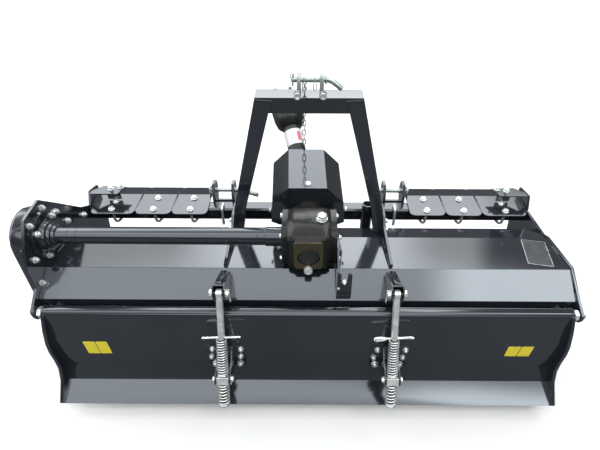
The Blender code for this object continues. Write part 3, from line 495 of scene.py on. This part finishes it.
def add_hex(shape, place, axis, flats, height, spin=0.0):
    """A hexagon head or nut whose outer corners are turned off."""
    add_turned(shape, place, axis, [(0, flats / 2), (height * 0.80, flats / 2)], 24, 6, spin)
    add_turned(shape, Vector(place) + Vector(axis) * height * 0.799, axis,
               [(0, flats * 0.545), (height * 0.20, flats * 0.46)], 24)


def add_thread(shape, place, axis, radius, length, pitch=0.0016):
    """A threaded end."""
    profile = []
    for turn in range(int(length / pitch)):
        profile += [(turn * pitch, radius), (turn * pitch + pitch * 0.5, radius * 0.86)]
    add_turned(shape, place, axis, profile + [(length, radius * 0.84)], 14)


def add_bolt(shape, place, axis, size, thread=0.0, spin=0.0):
    """A washer and a head on it, or a nut where a threaded end stands out by that length."""
    axis = Vector(axis).normalized()
    washer = size * 0.20
    place = Vector(place)
    add_turned(shape, place, axis, [(0, size * 1.12), (washer * 0.7, size * 1.12), (washer, size * 1.04)], 28)
    height = size * (0.80 if thread else 0.64)
    add_hex(shape, place + axis * washer, axis, size * 1.62, height, spin)
    if thread:
        add_thread(shape, place + axis * (washer + height * 0.9), axis, size * 0.5, thread)
    else:
        add_turned(shape, place + axis * (washer + height * 0.98), axis,
                   [(0, size * 0.58), (size * 0.05, size * 0.52), (size * 0.04, size * 0.30)], 20)


def smooth_line(points, steps=6, closed=False):
    """A curve through the points."""
    points = [Vector(point) for point in points]
    count = len(points)
    line = []
    for index in range(count if closed else count - 1):
        if closed:
            a, b, c, d = (points[(index + offset) % count] for offset in (-1, 0, 1, 2))
        else:
            b, c = points[index], points[index + 1]
            a = points[index - 1] if index else b * 2 - c
            d = points[index + 2] if index + 2 < count else c * 2 - b
        for step in range(steps):
            t = step / steps
            line.append(0.5 * (2 * b + (c - a) * t + (2 * a - 5 * b + 4 * c - d) * t * t
                               + (3 * b - a - 3 * c + d) * t ** 3))
    if not closed:
        line.append(points[-1])
    return line


def add_wire(shape, line, radius, sides=8, closed=False):
    """Round wire along a line. The radius is a number, or a function of how far along from 0 to 1."""
    count = len(line)
    side = None
    rings = []
    for index, point in enumerate(line):
        before = line[index - 1] if index or closed else point
        after = line[(index + 1) % count] if index + 1 < count or closed else point
        run = (after - before).normalized()
        if side is None:
            side = across_of(run)[0]
        side = (side - run * side.dot(run)).normalized()
        up = run.cross(side)
        reach = radius(index / (count - 1)) if callable(radius) else radius
        turns = [math.tau * k / sides for k in range(sides)]
        rings.append([point + (side * math.cos(turn) + up * math.sin(turn)) * reach for turn in turns])
    add_loft(shape, rings, closed)


def add_ring(shape, middle, axis, ring_r, wire_r):
    """A closed ring of wire about an axis."""
    side, up = across_of(Vector(axis).normalized())
    line = [Vector(middle) + (side * math.cos(math.tau * k / 20) + up * math.sin(math.tau * k / 20)) * ring_r
            for k in range(20)]
    add_wire(shape, line, wire_r, 8, closed=True)


def add_bead(shape, start, end, radius=0.0028, ripple=0.0045):
    """A weld bead: a run of overlapping ripples."""
    start, end = Vector(start), Vector(end)
    count = max(6, int((end - start).length / ripple) * 4)
    line = [start.lerp(end, index / count) for index in range(count + 1)]
    waves = (end - start).length / ripple
    add_wire(shape, line, lambda t: radius * (0.80 + 0.20 * abs(math.sin(math.pi * waves * t))
                                              + 0.06 * math.sin(13.7 * waves * t)), 8)


def fitting(name, body, finish, build, *rows, smooth=SMOOTH_ANGLE):
    """One piece made of many like fittings, which rides a body."""
    shape = bmesh.new()
    build(shape, *rows)
    bmesh.ops.recalc_face_normals(shape, faces=shape.faces)
    piece = mesh_object(name, shape, smooth)
    piece.data.materials.append(FINISH[finish])
    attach(piece, body)
    return piece


# Bolts as rows: (x, y, z, axis, size, length of the threaded end)

UP, REAR, FRONT, RIGHT, LEFT = (0, 0, 1), (0, -1, 0), (0, 1, 0), (1, 0, 0), (-1, 0, 0)
GUARD_TOP = 0.4775
GUARD_X, HOOK_Y = (0.508, 0.666, 0.846), 0.3235  # where the guard plates' bolts and hooked rods are
HINGE = (-0.188, 0.416)  # y and z of the tailgate's hinge
ROD_X = 0.295
ROD_TOP, TRUNNION = (-0.194, 0.5265), (-0.330, 0.2345)  # y and z of the spring rods' upper and lower pins
PLATE_FACE, DISC_FACE = -0.9398, -0.9325  # x inside the left side plate, and on the drive tube's disc there
CASE_R, CASE_LOW_R = 0.1085, 0.1165  # circles of the chain case's bolts, round the drive and the rotor
HUB_BOLT_R, TINE_BOLT_R = 0.070, 0.078

# A guard plate's front bolt stands further back where the corner wing's web would hide it
GUARD_BOLTS = [(side * x, y, GUARD_TOP, UP, 0.0125, 0.0) for side in (-1, 1) for x in GUARD_X
               for y in (0.380 if x > 0.8 else 0.405, HOOK_Y)]
WING_BOLTS = [(side * x, y, 0.5302, UP, 0.0120, 0.014) for side in (-1, 1)
              for x, y in ((0.824, 0.412), (0.860, 0.399))]
PLATE_ROWS = [(0.052, 0.689), (0.112, 0.627), (0.154, 0.550), (-0.040, 0.681), (0.265, 0.493),
              (-0.088, 0.571), (-0.112, 0.482)]
PLATE_BOLTS = [(PLATE_FACE, y, z, RIGHT, 0.0113, 0.0055) for y, z in PLATE_ROWS]
DISC_ROWS = [(-0.033, 0.640), (-0.025, 0.535), (0.074, 0.638), (0.066, 0.552)]
DISC_BOLTS = [(DISC_FACE, y, z, RIGHT, 0.0113, 0.0055) for y, z in DISC_ROWS]
SMALL_PLATE_BOLTS = [(PLATE_FACE, 0.0294, 0.680, RIGHT, 0.006, 0.0)]
FLANGE_ROWS = [(0.042, 0.669), (-0.048, 0.652), (-0.060, 0.563), (0.072, 0.560)]
FLANGE_BOLTS = [(-0.0917, y, z, LEFT, 0.0092, 0.0) for y, z in FLANGE_ROWS]
FLANGE_BOLTS += [(0.0977, 0.042, 0.669, RIGHT, 0.0092, 0.0), (0.1041, -0.052, 0.650, RIGHT, 0.0092, 0.0),
                 (0.1041, -0.068, 0.566, RIGHT, 0.0088, 0.0), (0.0977, 0.072, 0.560, RIGHT, 0.0092, 0.0)]
TUNNEL_BOLTS = [(-0.002, 0.165, 0.7200, UP, 0.0095, 0.0), (0.137, 0.150, 0.618, RIGHT, 0.0090, 0.0),
                (-0.143, 0.150, 0.612, LEFT, 0.0090, 0.0)]
FOOT_BOLTS = [(side * 0.3030, y, z, (side, 0, 0), 0.0095, 0.0) for side in (-1, 1)
              for y, z in ((0.173, 0.5415), (0.152, 0.519))]
NOTCH_BOLTS = [(0.1218, -0.1552, 0.5440, REAR, 0.0082, 0.006), (0.1035, -0.1552, 0.5095, REAR, 0.0045, 0.0)]
HINGE_BOLTS = [(side * 0.9505, *HINGE, (side, 0, 0), 0.0150, 0.0) for side in (-1, 1)]
BEAM_BOLTS = [(side * 0.9502, y, z, (side, 0, 0), 0.0140, 0.0) for side in (-1, 1)
              for y, z in ((0.350, 0.457), (0.380, 0.427), (0.350, 0.427), (0.380, 0.457))]
SKID_BOLTS = [(side * 0.9585, y, z, (side, 0, 0), 0.0120, 0.0) for side in (-1, 1)
              for y, z in ((-0.085, 0.068), (0.240, 0.078))]
HUB_TURNS = [math.tau * k / 6 for k in range(6)]
HUB_BOLTS = [(0.9628, HUB_BOLT_R * math.cos(turn), ROTOR_Z + HUB_BOLT_R * math.sin(turn), RIGHT, 0.0095, 0.0)
             for turn in HUB_TURNS]
CASE_ROWS = [(CASE_R, math.radians(degrees), *DRIVE_AXIS) for degrees in (10, 50, 90, 130, 170)]
CASE_ROWS += [(CASE_LOW_R, math.radians(degrees), 0.0, ROTOR_Z) for degrees in (190, 235, 270, 305, 350)]
CASE_BOLTS = [(-0.9580, y + reach * math.cos(turn), z + reach * math.sin(turn), LEFT, 0.0060, 0.0)
              for reach, turn, y, z in CASE_ROWS]
ROD_PIN_BOLTS = [(side * ROD_X + end * 0.0217, *ROD_TOP, (end, 0, 0), 0.0135, 0.0) for side in (-1, 1)
                 for end in (-1, 1)]

# On the tailgate's bracket plates, from the rod: (x, z, size)
GATE_ROWS = [(-0.046, 0.286, 0.0095), (-0.055, 0.237, 0.0095), (-0.046, 0.192, 0.0120),
             (0.055, 0.285, 0.0095), (0.050, 0.238, 0.0095), (0.045, 0.193, 0.0115)]
GATE_TOP = (-0.2425, 0.302)  # y and z of a bracket plate's outer face at its top
GATE_LEAN = 0.0418  # how the plates lean


def gate_face(z):
    """How far back a bracket plate's outer face stands at a height."""
    return GATE_TOP[0] + (GATE_TOP[1] - z) * GATE_LEAN


GATE_BOLTS = [(side * ROD_X + x, gate_face(z), z, REAR, size, 0.004) for side in (-1, 1)
              for x, z, size in GATE_ROWS]


def bolts(shape, rows):
    """Bolts from their rows, each turned a little further than the last."""
    for index, (x, y, z, axis, size, thread) in enumerate(rows):
        add_bolt(shape, at(x, y, z), axis, size, thread, spin=0.7 * index)


for label, body, rows in (
        ("guard_bolts", "frame", GUARD_BOLTS + WING_BOLTS),
        ("plate_bolts", "frame", PLATE_BOLTS + DISC_BOLTS + SMALL_PLATE_BOLTS + BEAM_BOLTS + HINGE_BOLTS),
        ("flange_bolts", "frame", FLANGE_BOLTS + TUNNEL_BOLTS + NOTCH_BOLTS + FOOT_BOLTS),
        ("skid_bolts", "frame", SKID_BOLTS + HUB_BOLTS),
        ("rod_pin_bolts", "frame", ROD_PIN_BOLTS),
        ("gate_bolts", "tailgate", GATE_BOLTS)):
    fitting(label, body, "zinc_plate", bolts, rows)
fitting("case_bolts", "frame", "grey_paint", bolts, CASE_BOLTS)


def hinge_nuts(shape):
    """The nuts between the side plates and the tailgate's ends."""
    for side in (-1, 1):
        add_hex(shape, at(side * 0.9232, *HINGE), (side, 0, 0), 0.0350, 0.0158, 0.3)


fitting("hinge_nuts", "frame", "zinc_plate", hinge_nuts)


RINGS, RING_PITCH, RING_TURN = 7, 0.26, 17  # each ring is turned on from the last by so many degrees
TINES = 6  # on each ring, on its left and right by turns
TINE_BOLT_FLATS, TINE_BOLT_APART = 0.019, 0.028
HEAD_FACE, NUT_FACE = 0.0116, 0.0051  # of a tine's bolts, from the ring's middle


def tine_bolts(shape):
    """Two bolts through each tine and its ring, and their nuts behind."""
    for ring in range(RINGS):
        x = (ring - RINGS // 2) * RING_PITCH
        for index in range(TINES):
            side = 1 if index % 2 else -1
            angle = math.tau * index / TINES + math.radians(RING_TURN * ring)
            for offset in (-TINE_BOLT_APART / 2, TINE_BOLT_APART / 2):
                y = -TINE_BOLT_R * math.sin(angle) + offset * math.cos(angle)
                z = ROTOR_Z + TINE_BOLT_R * math.cos(angle) + offset * math.sin(angle)
                add_hex(shape, at(x + side * HEAD_FACE, y, z), (side, 0, 0), TINE_BOLT_FLATS, 0.0075, angle)
                add_hex(shape, at(x - side * NUT_FACE, y, z), (-side, 0, 0), TINE_BOLT_FLATS, 0.0090, angle)


fitting("tine_bolts", "rotor", "bare_steel", tine_bolts)


# Hooked rods, clips, rings, links and springs

HOOK_ROD_R = 0.0058


def hook_rods(shape):
    """The hooked rods under the guard plates, and the ones that clamp each hitch bracket to the beam."""
    for side in (-1, 1):
        for x in GUARD_X:
            line = [(side * x, HOOK_Y, 0.470), (side * x, HOOK_Y, 0.430), (side * (x - 0.002), 0.326, 0.412),
                    (side * (x - 0.008), 0.336, 0.4035), (side * (x - 0.014), 0.352, 0.4045),
                    (side * (x - 0.018), 0.370, 0.4060)]
            add_wire(shape, smooth_line([at(*point) for point in line], 5), HOOK_ROD_R, 10)
        line = [(side * 0.372, 0.362, 0.4792), (side * 0.372, 0.336, 0.4790), (side * 0.372, 0.3275, 0.4680),
                (side * 0.3735, 0.3275, 0.430), (side * 0.3735, 0.3275, 0.396)]
        add_wire(shape, smooth_line([at(*point) for point in line], 5), HOOK_ROD_R, 10)


BREATHER, DRAIN = at(0.046, -0.015, 0.7025), at(0.0, -0.1065, 0.5535)  # their feet on the gearbox
# Their turned parts as (distance, radius)
BREATHER_WASHER = [(0, 0.0196), (0.0095, 0.0196), (0.0105, 0.0188)]
BREATHER_NECK = [(0, 0.0100), (0.003, 0.0100)]
BREATHER_TOP = [(0, 0.0118), (0.0016, 0.0106), (0.0012, 0.0080), (0.0030, 0.0066), (0.0034, 0.0020)]
DRAIN_PLUG = [(0, 0.0152), (0.0110, 0.0152), (0.0150, 0.0140), (0.0158, 0.0085), (0.0150, 0.0078),
              (0.0156, 0.0050)]


def gearbox_fittings(shape):
    """The breather with its nut and cap, and the drain plug, over the casting's own."""
    add_turned(shape, BREATHER - Vector((0, 0, 0.010)), UP, BREATHER_WASHER, 32)
    add_hex(shape, BREATHER, UP, 0.0298, 0.0074, 0.2)
    add_turned(shape, BREATHER + Vector((0, 0, 0.0066)), UP, BREATHER_NECK, 24)
    add_hex(shape, BREATHER + Vector((0, 0, 0.0096)), UP, 0.0290, 0.0080, 0.5)
    add_turned(shape, BREATHER + Vector((0, 0, 0.0175)), UP, BREATHER_TOP, 32)
    add_turned(shape, DRAIN, REAR, DRAIN_PLUG, 32)


def split_pin(shape, middle, along, away, wire_r, left, right):
    """A split pin: an eye at one end and two legs side by side through the rod."""
    middle, along, away = Vector(middle), Vector(along).normalized(), Vector(away).normalized()
    rows = [(right, 1.0), (right * 0.5, 0.9), (0.0, 0.9), (-left * 0.36, 1.0), (-left * 0.50, 2.1),
            (-left * 0.74, 3.0), (-left * 0.95, 2.2)]
    line = [middle + along * reach + away * wire_r * apart for reach, apart in rows]
    line.append(middle - along * left)
    line += [middle + along * reach - away * wire_r * apart for reach, apart in rows[::-1]]
    add_wire(shape, smooth_line(line, 6), wire_r, 8)


TOP_PIN_Y, LINCH_X = 0.255, -0.0555  # the top link pin, and the linch pin through its left end
LINCH_R, LINCH_RING_R = 0.0030, 0.0014


def top_pin_clips(shape):
    """Two split rings with a link on the top link pin, its linch pin, and the ends of the ears' bosses."""
    for x, hang in ((-0.0175, 0.030), (0.0190, 0.024)):
        add_ring(shape, at(x, TOP_PIN_Y, 1.0790), RIGHT, 0.0136, 0.0019)
        add_wire(shape, smooth_line([at(x - 0.004, 0.2415, 1.066), at(x - 0.005, 0.240, 1.066 - hang * 0.6),
                                     at(x, 0.240, 1.066 - hang), at(x + 0.005, 0.240, 1.066 - hang * 0.6),
                                     at(x + 0.004, 0.2415, 1.066)], 6), 0.0017, 8)
    linch = [at(LINCH_X, TOP_PIN_Y, 1.052), at(LINCH_X, TOP_PIN_Y, 1.098)]
    add_wire(shape, smooth_line(linch, 4), LINCH_R, 10)
    add_turned(shape, at(LINCH_X, TOP_PIN_Y, 1.086), UP, [(0, 0.0052), (0.008, 0.0052), (0.012, 0.0030)], 16)
    add_ring(shape, at(LINCH_X - 0.0035, TOP_PIN_Y, 1.0780), (0.96, 0.25, 0.1), 0.0165, LINCH_RING_R)
    for x in (-0.0345, 0.0415):
        outward = 0.0045 if x > 0 else -0.0045
        hollow = [(0, 0.0118), (0.0035, 0.0112), (0.0035, 0.0072), (0.0004, 0.0066)]
        add_turned(shape, at(x + outward, 0.2062, 1.0375), REAR, hollow, 28)


HITCH_LINCH_X, HITCH_PIN_Y = 0.4345, 0.446


def hitch_clips(shape):
    """A linch pin with its ring in each lower hitch pin, outside the ears."""
    for side in (-1, 1):
        x, y = side * HITCH_LINCH_X, HITCH_PIN_Y
        add_wire(shape, smooth_line([at(x, y, 0.474), at(x, y, 0.520)], 4), LINCH_R, 10)
        add_turned(shape, at(x, y, 0.5075), UP, [(0, 0.0055), (0.010, 0.0055), (0.013, 0.0030)], 16)
        add_ring(shape, at(x + side * 0.004, y, 0.498), (0.96 * side, 0.1, 0.25), 0.0180, LINCH_RING_R)


fitting("hook_rods", "frame", "zinc_plate", hook_rods)
fitting("gearbox_fittings", "frame", "zinc_plate", gearbox_fittings)
fitting("top_pin_clips", "frame", "zinc_plate", top_pin_clips)
fitting("hitch_clips", "frame", "zinc_plate", hitch_clips)


# Along each spring rod, from its upper pin
DOWN_ROD = (Vector((0, *TRUNNION)) - Vector((0, *ROD_TOP))).normalized()
UPPER_START, UPPER_LENGTH = 0.1675, 0.1393
LOWER_START, LOWER_LENGTH = 0.3374, 0.0862
SPLIT_PIN_AT = 0.1625


def add_coil(shape, start, direction, length, radii, turns, wire_r):
    """A spring with a closed coil at each end."""
    side, up = across_of(direction)
    steps = 18
    count = int(turns * steps)
    line = []
    for index in range(count + 1):
        turn = index / steps
        dead = min(turn, 1.0, turns - turn)
        active = min(max(turn - 1.0, 0.0), turns - 2.0) / (turns - 2.0)
        lead = 2 * wire_r * (min(turn, 1.0) + max(0.0, turn - (turns - 1.0)))
        along = wire_r + lead + active * (length - 6 * wire_r)
        radius = radii[0] + (radii[1] - radii[0]) * index / count - 0.0006 * (1.0 - max(0.0, dead))
        angle = math.tau * turn
        line.append(start + direction * along + (side * math.cos(angle) + up * math.sin(angle)) * radius)
    add_wire(shape, line, wire_r, 10)


def springs():
    """The four springs in their nodes' stead."""
    for sign, label in ((-1, "left"), (1, "right")):
        top = at(sign * ROD_X, *ROD_TOP)
        start = top + DOWN_ROD * UPPER_START
        piece = fitting(f"upper_spring_coil_{label}", f"rod_{label}", "zinc_plate", add_coil, start, DOWN_ROD,
                        UPPER_LENGTH, (0.0163, 0.0177), 15, 0.0023)
        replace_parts(piece, f"upper_spring_{label}")
        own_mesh(piece)
        piece = fitting(f"lower_spring_coil_{label}", f"rod_{label}", "zinc_plate", add_coil,
                        top + DOWN_ROD * LOWER_START, DOWN_ROD, LOWER_LENGTH, (0.0178, 0.0178), 8, 0.0026)
        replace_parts(piece, f"lower_spring_{label}")


def painted_shade_rod(shape, sign):
    """Painted shade: a dark sleeve on a rod's lengths inside its springs, standing in for the shade between the
    coils.
    """
    top = at(sign * ROD_X, *ROD_TOP)
    for start, length in ((UPPER_START, UPPER_LENGTH), (LOWER_START, LOWER_LENGTH)):
        profile = [(0, 0.0120), (0.002, 0.0124), (length - 0.002, 0.0124), (length, 0.0120)]
        add_turned(shape, top + DOWN_ROD * start, DOWN_ROD, profile, 24)


def rod_clips(shape, sign):
    """The split pin above a rod's upper spring: its eye shows on the right and is edge-on on the left."""
    top = at(sign * ROD_X, *ROD_TOP)
    away = (0, 0.82, 0.57) if sign > 0 else (0, 0.57, -0.82)
    split_pin(shape, top + DOWN_ROD * SPLIT_PIN_AT, (1, 0, 0.095), away, 0.0020, 0.068, 0.060)


def pin_clips(shape):
    """A thin clip hung through the inner end of each rod bracket's pin."""
    for side in (-1, 1):
        x = side * (ROD_X - 0.0345)
        line = [at(x, -0.196, 0.545), at(x, -0.194, 0.5265), at(x, -0.194, 0.502), at(x, -0.197, 0.492),
                at(x, -0.203, 0.4935), at(x, -0.2035, 0.505), at(x, -0.2025, 0.520), at(x, -0.2045, 0.5265),
                at(x, -0.2035, 0.540)]
        add_wire(shape, smooth_line(line, 6), 0.0015, 8)


def trunnion_bolts(shape, sign):
    """The bolts that the trunnions turn on."""
    for end in (-1, 1):
        add_bolt(shape, at(sign * ROD_X + end * 0.0279, *TRUNNION), (end, 0, 0), 0.0105, 0.0, 0.4)


DRIVELINE = Vector((-0.232, 0.790, 0.560)).normalized()
JOINT = Vector((0.0, 0.250, 0.601))  # where the driveline bends, from the same origin as at()
LINKS, LINK_WIDTH, LINK_WIRE = 13, 0.0062, 0.0020
CHAIN_RING, CHAIN_OVER_BAR = Vector((-0.016, 0.265, 1.069)), Vector((-0.016, 0.306, 1.030))
CHAIN_END = (0.215, 0.0385)  # how far along the guard tube it is fastened, and how far from the tube's axis


def guard_links(shape):
    """The guard tube's chain, link by link, over the headstock's bar and down to the tube."""
    up = DRIVELINE.cross(Vector((-1, 0, 0))).normalized()
    side = up.cross(DRIVELINE)
    end = JOINT + DRIVELINE * CHAIN_END[0] + (up * 0.6 - side * 0.8) * CHAIN_END[1]
    first, second = CHAIN_OVER_BAR - CHAIN_RING, end - CHAIN_OVER_BAR
    pitch = (first.length + second.length) / (LINKS + 0.3)
    for index in range(LINKS):
        along = pitch * (index + 0.65)
        if along <= first.length:
            middle, run = CHAIN_RING + first.normalized() * along, first.normalized()
        else:
            middle, run = CHAIN_OVER_BAR + second.normalized() * (along - first.length), second.normalized()
        wide = run.cross(Vector((1, 0, 0))).normalized() if index % 2 else Vector((1, 0, 0))
        line = []
        for step in range(16):
            angle = math.tau * step / 16
            stretch = pitch * 0.30 * (1 if math.cos(angle) > 0 else -1) * (abs(math.cos(angle)) > 0.2)
            line.append(at(*(middle + run * (stretch + pitch * 0.30 * math.cos(angle))
                             + wide * LINK_WIDTH * math.sin(angle))))
        add_wire(shape, line, LINK_WIRE, 8, closed=True)


springs()
for sign, label in ((-1, "left"), (1, "right")):
    fitting(f"rod_clip_{label}", f"rod_{label}", "zinc_plate", rod_clips, sign)
    # A dark sleeve of painted shade on each rod inside its springs
    fitting(f"painted_shade_rod_{label}", f"rod_{label}", "black_plastic", painted_shade_rod, sign)
    fitting(f"trunnion_bolts_{label}", f"trunnion_{label}", "zinc_plate", trunnion_bolts, sign)
fitting("pin_clips", "frame", "zinc_plate", pin_clips)
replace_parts(fitting("guard_links", "frame", "zinc_plate", guard_links), "guard_chain")


# Weld beads

HOOD = [(0.225, 0.462), (0.137, 0.487), (-0.058, 0.508), (-0.155, 0.447)]  # its upper face as (y, z)


def hood_at(y):
    """Height of the hood's upper face."""
    for (y0, z0), (y1, z1) in zip(HOOD, HOOD[1:]):
        if y1 <= y <= y0:
            return z0 + (z1 - z0) * (y - y0) / (y1 - y0)
    raise ValueError(y)


# Beads of the right side, which the left repeats, as (start, end). Along the hood: (x, start y, end y)
HOOD_BEADS = [(0.2922, -0.046, 0.030), (0.2922, 0.060, 0.128), (0.3034, -0.046, 0.030),
              (0.3034, 0.060, 0.128), (0.9388, -0.060, -0.100), (0.9388, -0.128, -0.152),
              (0.9388, 0.085, 0.030), (0.2885, -0.074, -0.110), (0.3106, -0.074, -0.110),
              (0.2735, -0.082, -0.150), (0.3165, -0.115, -0.150)]
BEADS = [((0.1250, 0.2242, 1.0125), (0.1815, 0.2242, 1.0165)),
         ((0.1262, 0.2246, 1.0090), (0.1385, 0.2246, 0.9705)),
         ((0.2922, 0.1890, 0.4900), (0.2922, 0.1912, 0.5560))]
BEADS += [((x, start, hood_at(start)), (x, end, hood_at(end))) for x, start, end in HOOD_BEADS]
BEADS.append(((0.9390, 0.3350, 0.4180), (0.9390, 0.3350, 0.4660)))


def weld_beads(shape):
    """The beads on both sides of the machine."""
    for side in (-1, 1):
        for (x0, y0, z0), (x1, y1, z1) in BEADS:
            add_bead(shape, at(side * x0, y0, z0), at(side * x1, y1, z1))


def tube_seams(shape):
    """Thin seams round the drive tube."""
    for x in (-0.847, -0.8155, -0.178):
        add_turned(shape, at(x, *DRIVE_AXIS), LEFT, [(0, 0.0309), (0.0008, 0.0316), (0.0018, 0.0316),
                                                     (0.0026, 0.0309)], 56)


fitting("weld_beads", "frame", "grey_paint", weld_beads, smooth=50)
fitting("tube_seams", "frame", "grey_paint", tube_seams)


# Blank films and plates, painted shade behind the vents and in the boss, and the paint that closes joints

def card(wide, tall, corner=0.004):
    """A rounded rectangle about its middle, as (across, up)."""
    outline = []
    for sx, sy, start in ((1, 1, 0), (-1, 1, 90), (-1, -1, 180), (1, -1, 270)):
        for step in range(4):
            angle = math.radians(start + 30 * step)
            outline.append((sx * (wide / 2 - corner) + corner * math.cos(angle),
                            sy * (tall / 2 - corner) + corner * math.sin(angle)))
    return outline


def add_card(shape, middle, across, up, size, lift, thick, corner=0.004):
    """A thin card with rounded corners, lifted off the face it lies on."""
    across, up = Vector(across).normalized(), Vector(up).normalized()
    out = across.cross(up).normalized()
    rings = []
    for height in (lift, lift + thick):
        rings.append([Vector(middle) + across * a + up * b + out * height for a, b in card(*size, corner)])
    add_loft(shape, rings)


# The tailgate's upper sheet: y and z at its top, how it leans, and the way up along it
SHEET_TOP, SHEET_LEAN, SHEET_UP = (-0.237, 0.320), 0.04124, (0, -0.006, 0.1455)
# Middle x, middle z, width and height of each film on it
FILMS = [(-0.7785, 0.2785, 0.0430, 0.0745), (-0.7345, 0.2785, 0.0405, 0.0745),
         (0.7405, 0.2675, 0.0440, 0.0615), (0.7870, 0.2675, 0.0440, 0.0615)]


def yellow_films(shape):
    """The blank yellow films on the tailgate."""
    for x, z, wide, tall in FILMS:
        y = SHEET_TOP[0] + (SHEET_TOP[1] - z) * SHEET_LEAN
        add_card(shape, at(x, y, z), RIGHT, SHEET_UP, (wide, tall), 0.0001, 0.0003, 0.003)


PLATE_TURN = math.radians(12.5)
PLATE_PLACE = (0.862, 0.044)
PLATE_SLOPE = -0.021 / 0.195  # of the hood under it


def data_plate(shape, size, lift, thick):
    """A blank plate turned a little on the hood."""
    x, y = PLATE_PLACE
    up = Vector((math.sin(PLATE_TURN), math.cos(PLATE_TURN), PLATE_SLOPE * math.cos(PLATE_TURN)))
    across = Vector((math.cos(PLATE_TURN), -math.sin(PLATE_TURN), -PLATE_SLOPE * math.sin(PLATE_TURN)))
    add_card(shape, at(x, y, hood_at(y)), across, up, size, lift, thick, 0.003)


LABEL_INSIDE = 0.0361


def tube_label(shape, start, length, radius, low, high):
    """Part of a sleeve round the guard tube, between two angles."""
    side, up = across_of(DRIVELINE)
    rings = []
    for along in (start, start + length):
        ring = []
        for reach, order in ((radius, 1), (LABEL_INSIDE, -1)):
            for step in range(33)[::order]:
                angle = math.radians(low + (high - low) * step / 32)
                out = side * math.cos(angle) + up * math.sin(angle)
                ring.append(at(*(JOINT + DRIVELINE * along)) + out * reach)
        rings.append(ring)
    add_loft(shape, rings)


TUNNEL_TOP, TUNNEL_SIDE, TUNNEL_SHIFT = (0.070, 0.717), (0.133, 0.653), -0.003  # ends of its slope as (x, z)
VENTS = ((0.185, 0.455), (0.545, 0.815))  # from and to, in shares of the slope
VENT_DEPTHS = (0.0025, 0.0135)  # below the slope


def vent_painted_shade(shape):
    """Painted shade: dark sheets behind the four vents in the tunnel's rear face, standing in for their shaded
    inside.
    """
    for side in (-1, 1):
        for low, high in VENTS:
            ring = []
            shallow, deep = VENT_DEPTHS
            for part, inward in ((low, shallow), (high, shallow), (high, deep), (low, deep)):
                x = TUNNEL_TOP[0] + (TUNNEL_SIDE[0] - TUNNEL_TOP[0]) * part
                z = TUNNEL_TOP[1] + (TUNNEL_SIDE[1] - TUNNEL_TOP[1]) * part
                ring.append((side * (x - 0.71 * inward) + TUNNEL_SHIFT, z - 0.70 * inward))
            add_loft(shape, [[at(x, y, z) for x, z in ring] for y in (0.1452, 0.1458)])


def bar_skin(shape):
    """The paint that runs unbroken over the headstock's bar and the tops of its legs."""
    add_card(shape, at(0, 0.261, 1.0240), RIGHT, FRONT, (0.3675, 0.0725), 0.0001, 0.0003)


def boss_painted_shade(shape):
    """A dark cap sunk in the boss on the casting's rear: painted shade for the boss's hole."""
    add_turned(shape, at(0.001, -0.0945, 0.606), REAR, [(0, 0.0352), (0.0075, 0.0352), (0.0095, 0.0335),
                                                        (0.0088, 0.0250), (0.0070, 0.0120)], 40)


GUARD_JOINTS, JOINT_HALF, JOINT_THICK = (0.5860, 0.7420), 0.0028, 0.0022
GUARD_LINE = [(0.3145, 0.4735), (0.4350, 0.4735), (0.5285, 0.4460)]  # along the plates' fold, as (y, z)


def guard_joints(shape):
    """The folded edges that close the joints between the guard plates."""
    section = ((-1, 0.0), (1, 0.0), (1, JOINT_THICK), (-1, JOINT_THICK))
    for side in (-1, 1):
        for x in GUARD_JOINTS:
            add_loft(shape, [[at(side * x + across * JOINT_HALF, y, z + up) for across, up in section]
                             for y, z in GUARD_LINE])


fitting("guard_joints", "frame", "grey_paint", guard_joints)
fitting("bar_skin", "frame", "grey_paint", bar_skin)
# Painted shade in the boss's hole
fitting("boss_painted_shade", "frame", "black_plastic", boss_painted_shade)
fitting("yellow_films", "tailgate", "yellow_film", yellow_films)
fitting("data_plate_rim", "frame", "zinc_plate", data_plate, (0.0880, 0.1560), 0.0001, 0.0006)
fitting("data_plate_face", "frame", "plate_face", data_plate, (0.0855, 0.1535), 0.0007, 0.0002)
fitting("tube_label", "frame", "white_film", tube_label, 0.222, 0.068, 0.0366, -175, 175)
fitting("tube_label_mark", "frame", "red_film", tube_label, 0.234, 0.040, 0.0368, -78, -52)
# Painted shade behind the vents
fitting("vent_painted_shade", "frame", "black_plastic", vent_painted_shade)


bpy.context.scene.view_settings.view_transform = "Standard"
add_camera()
add_sky()
add_floor()
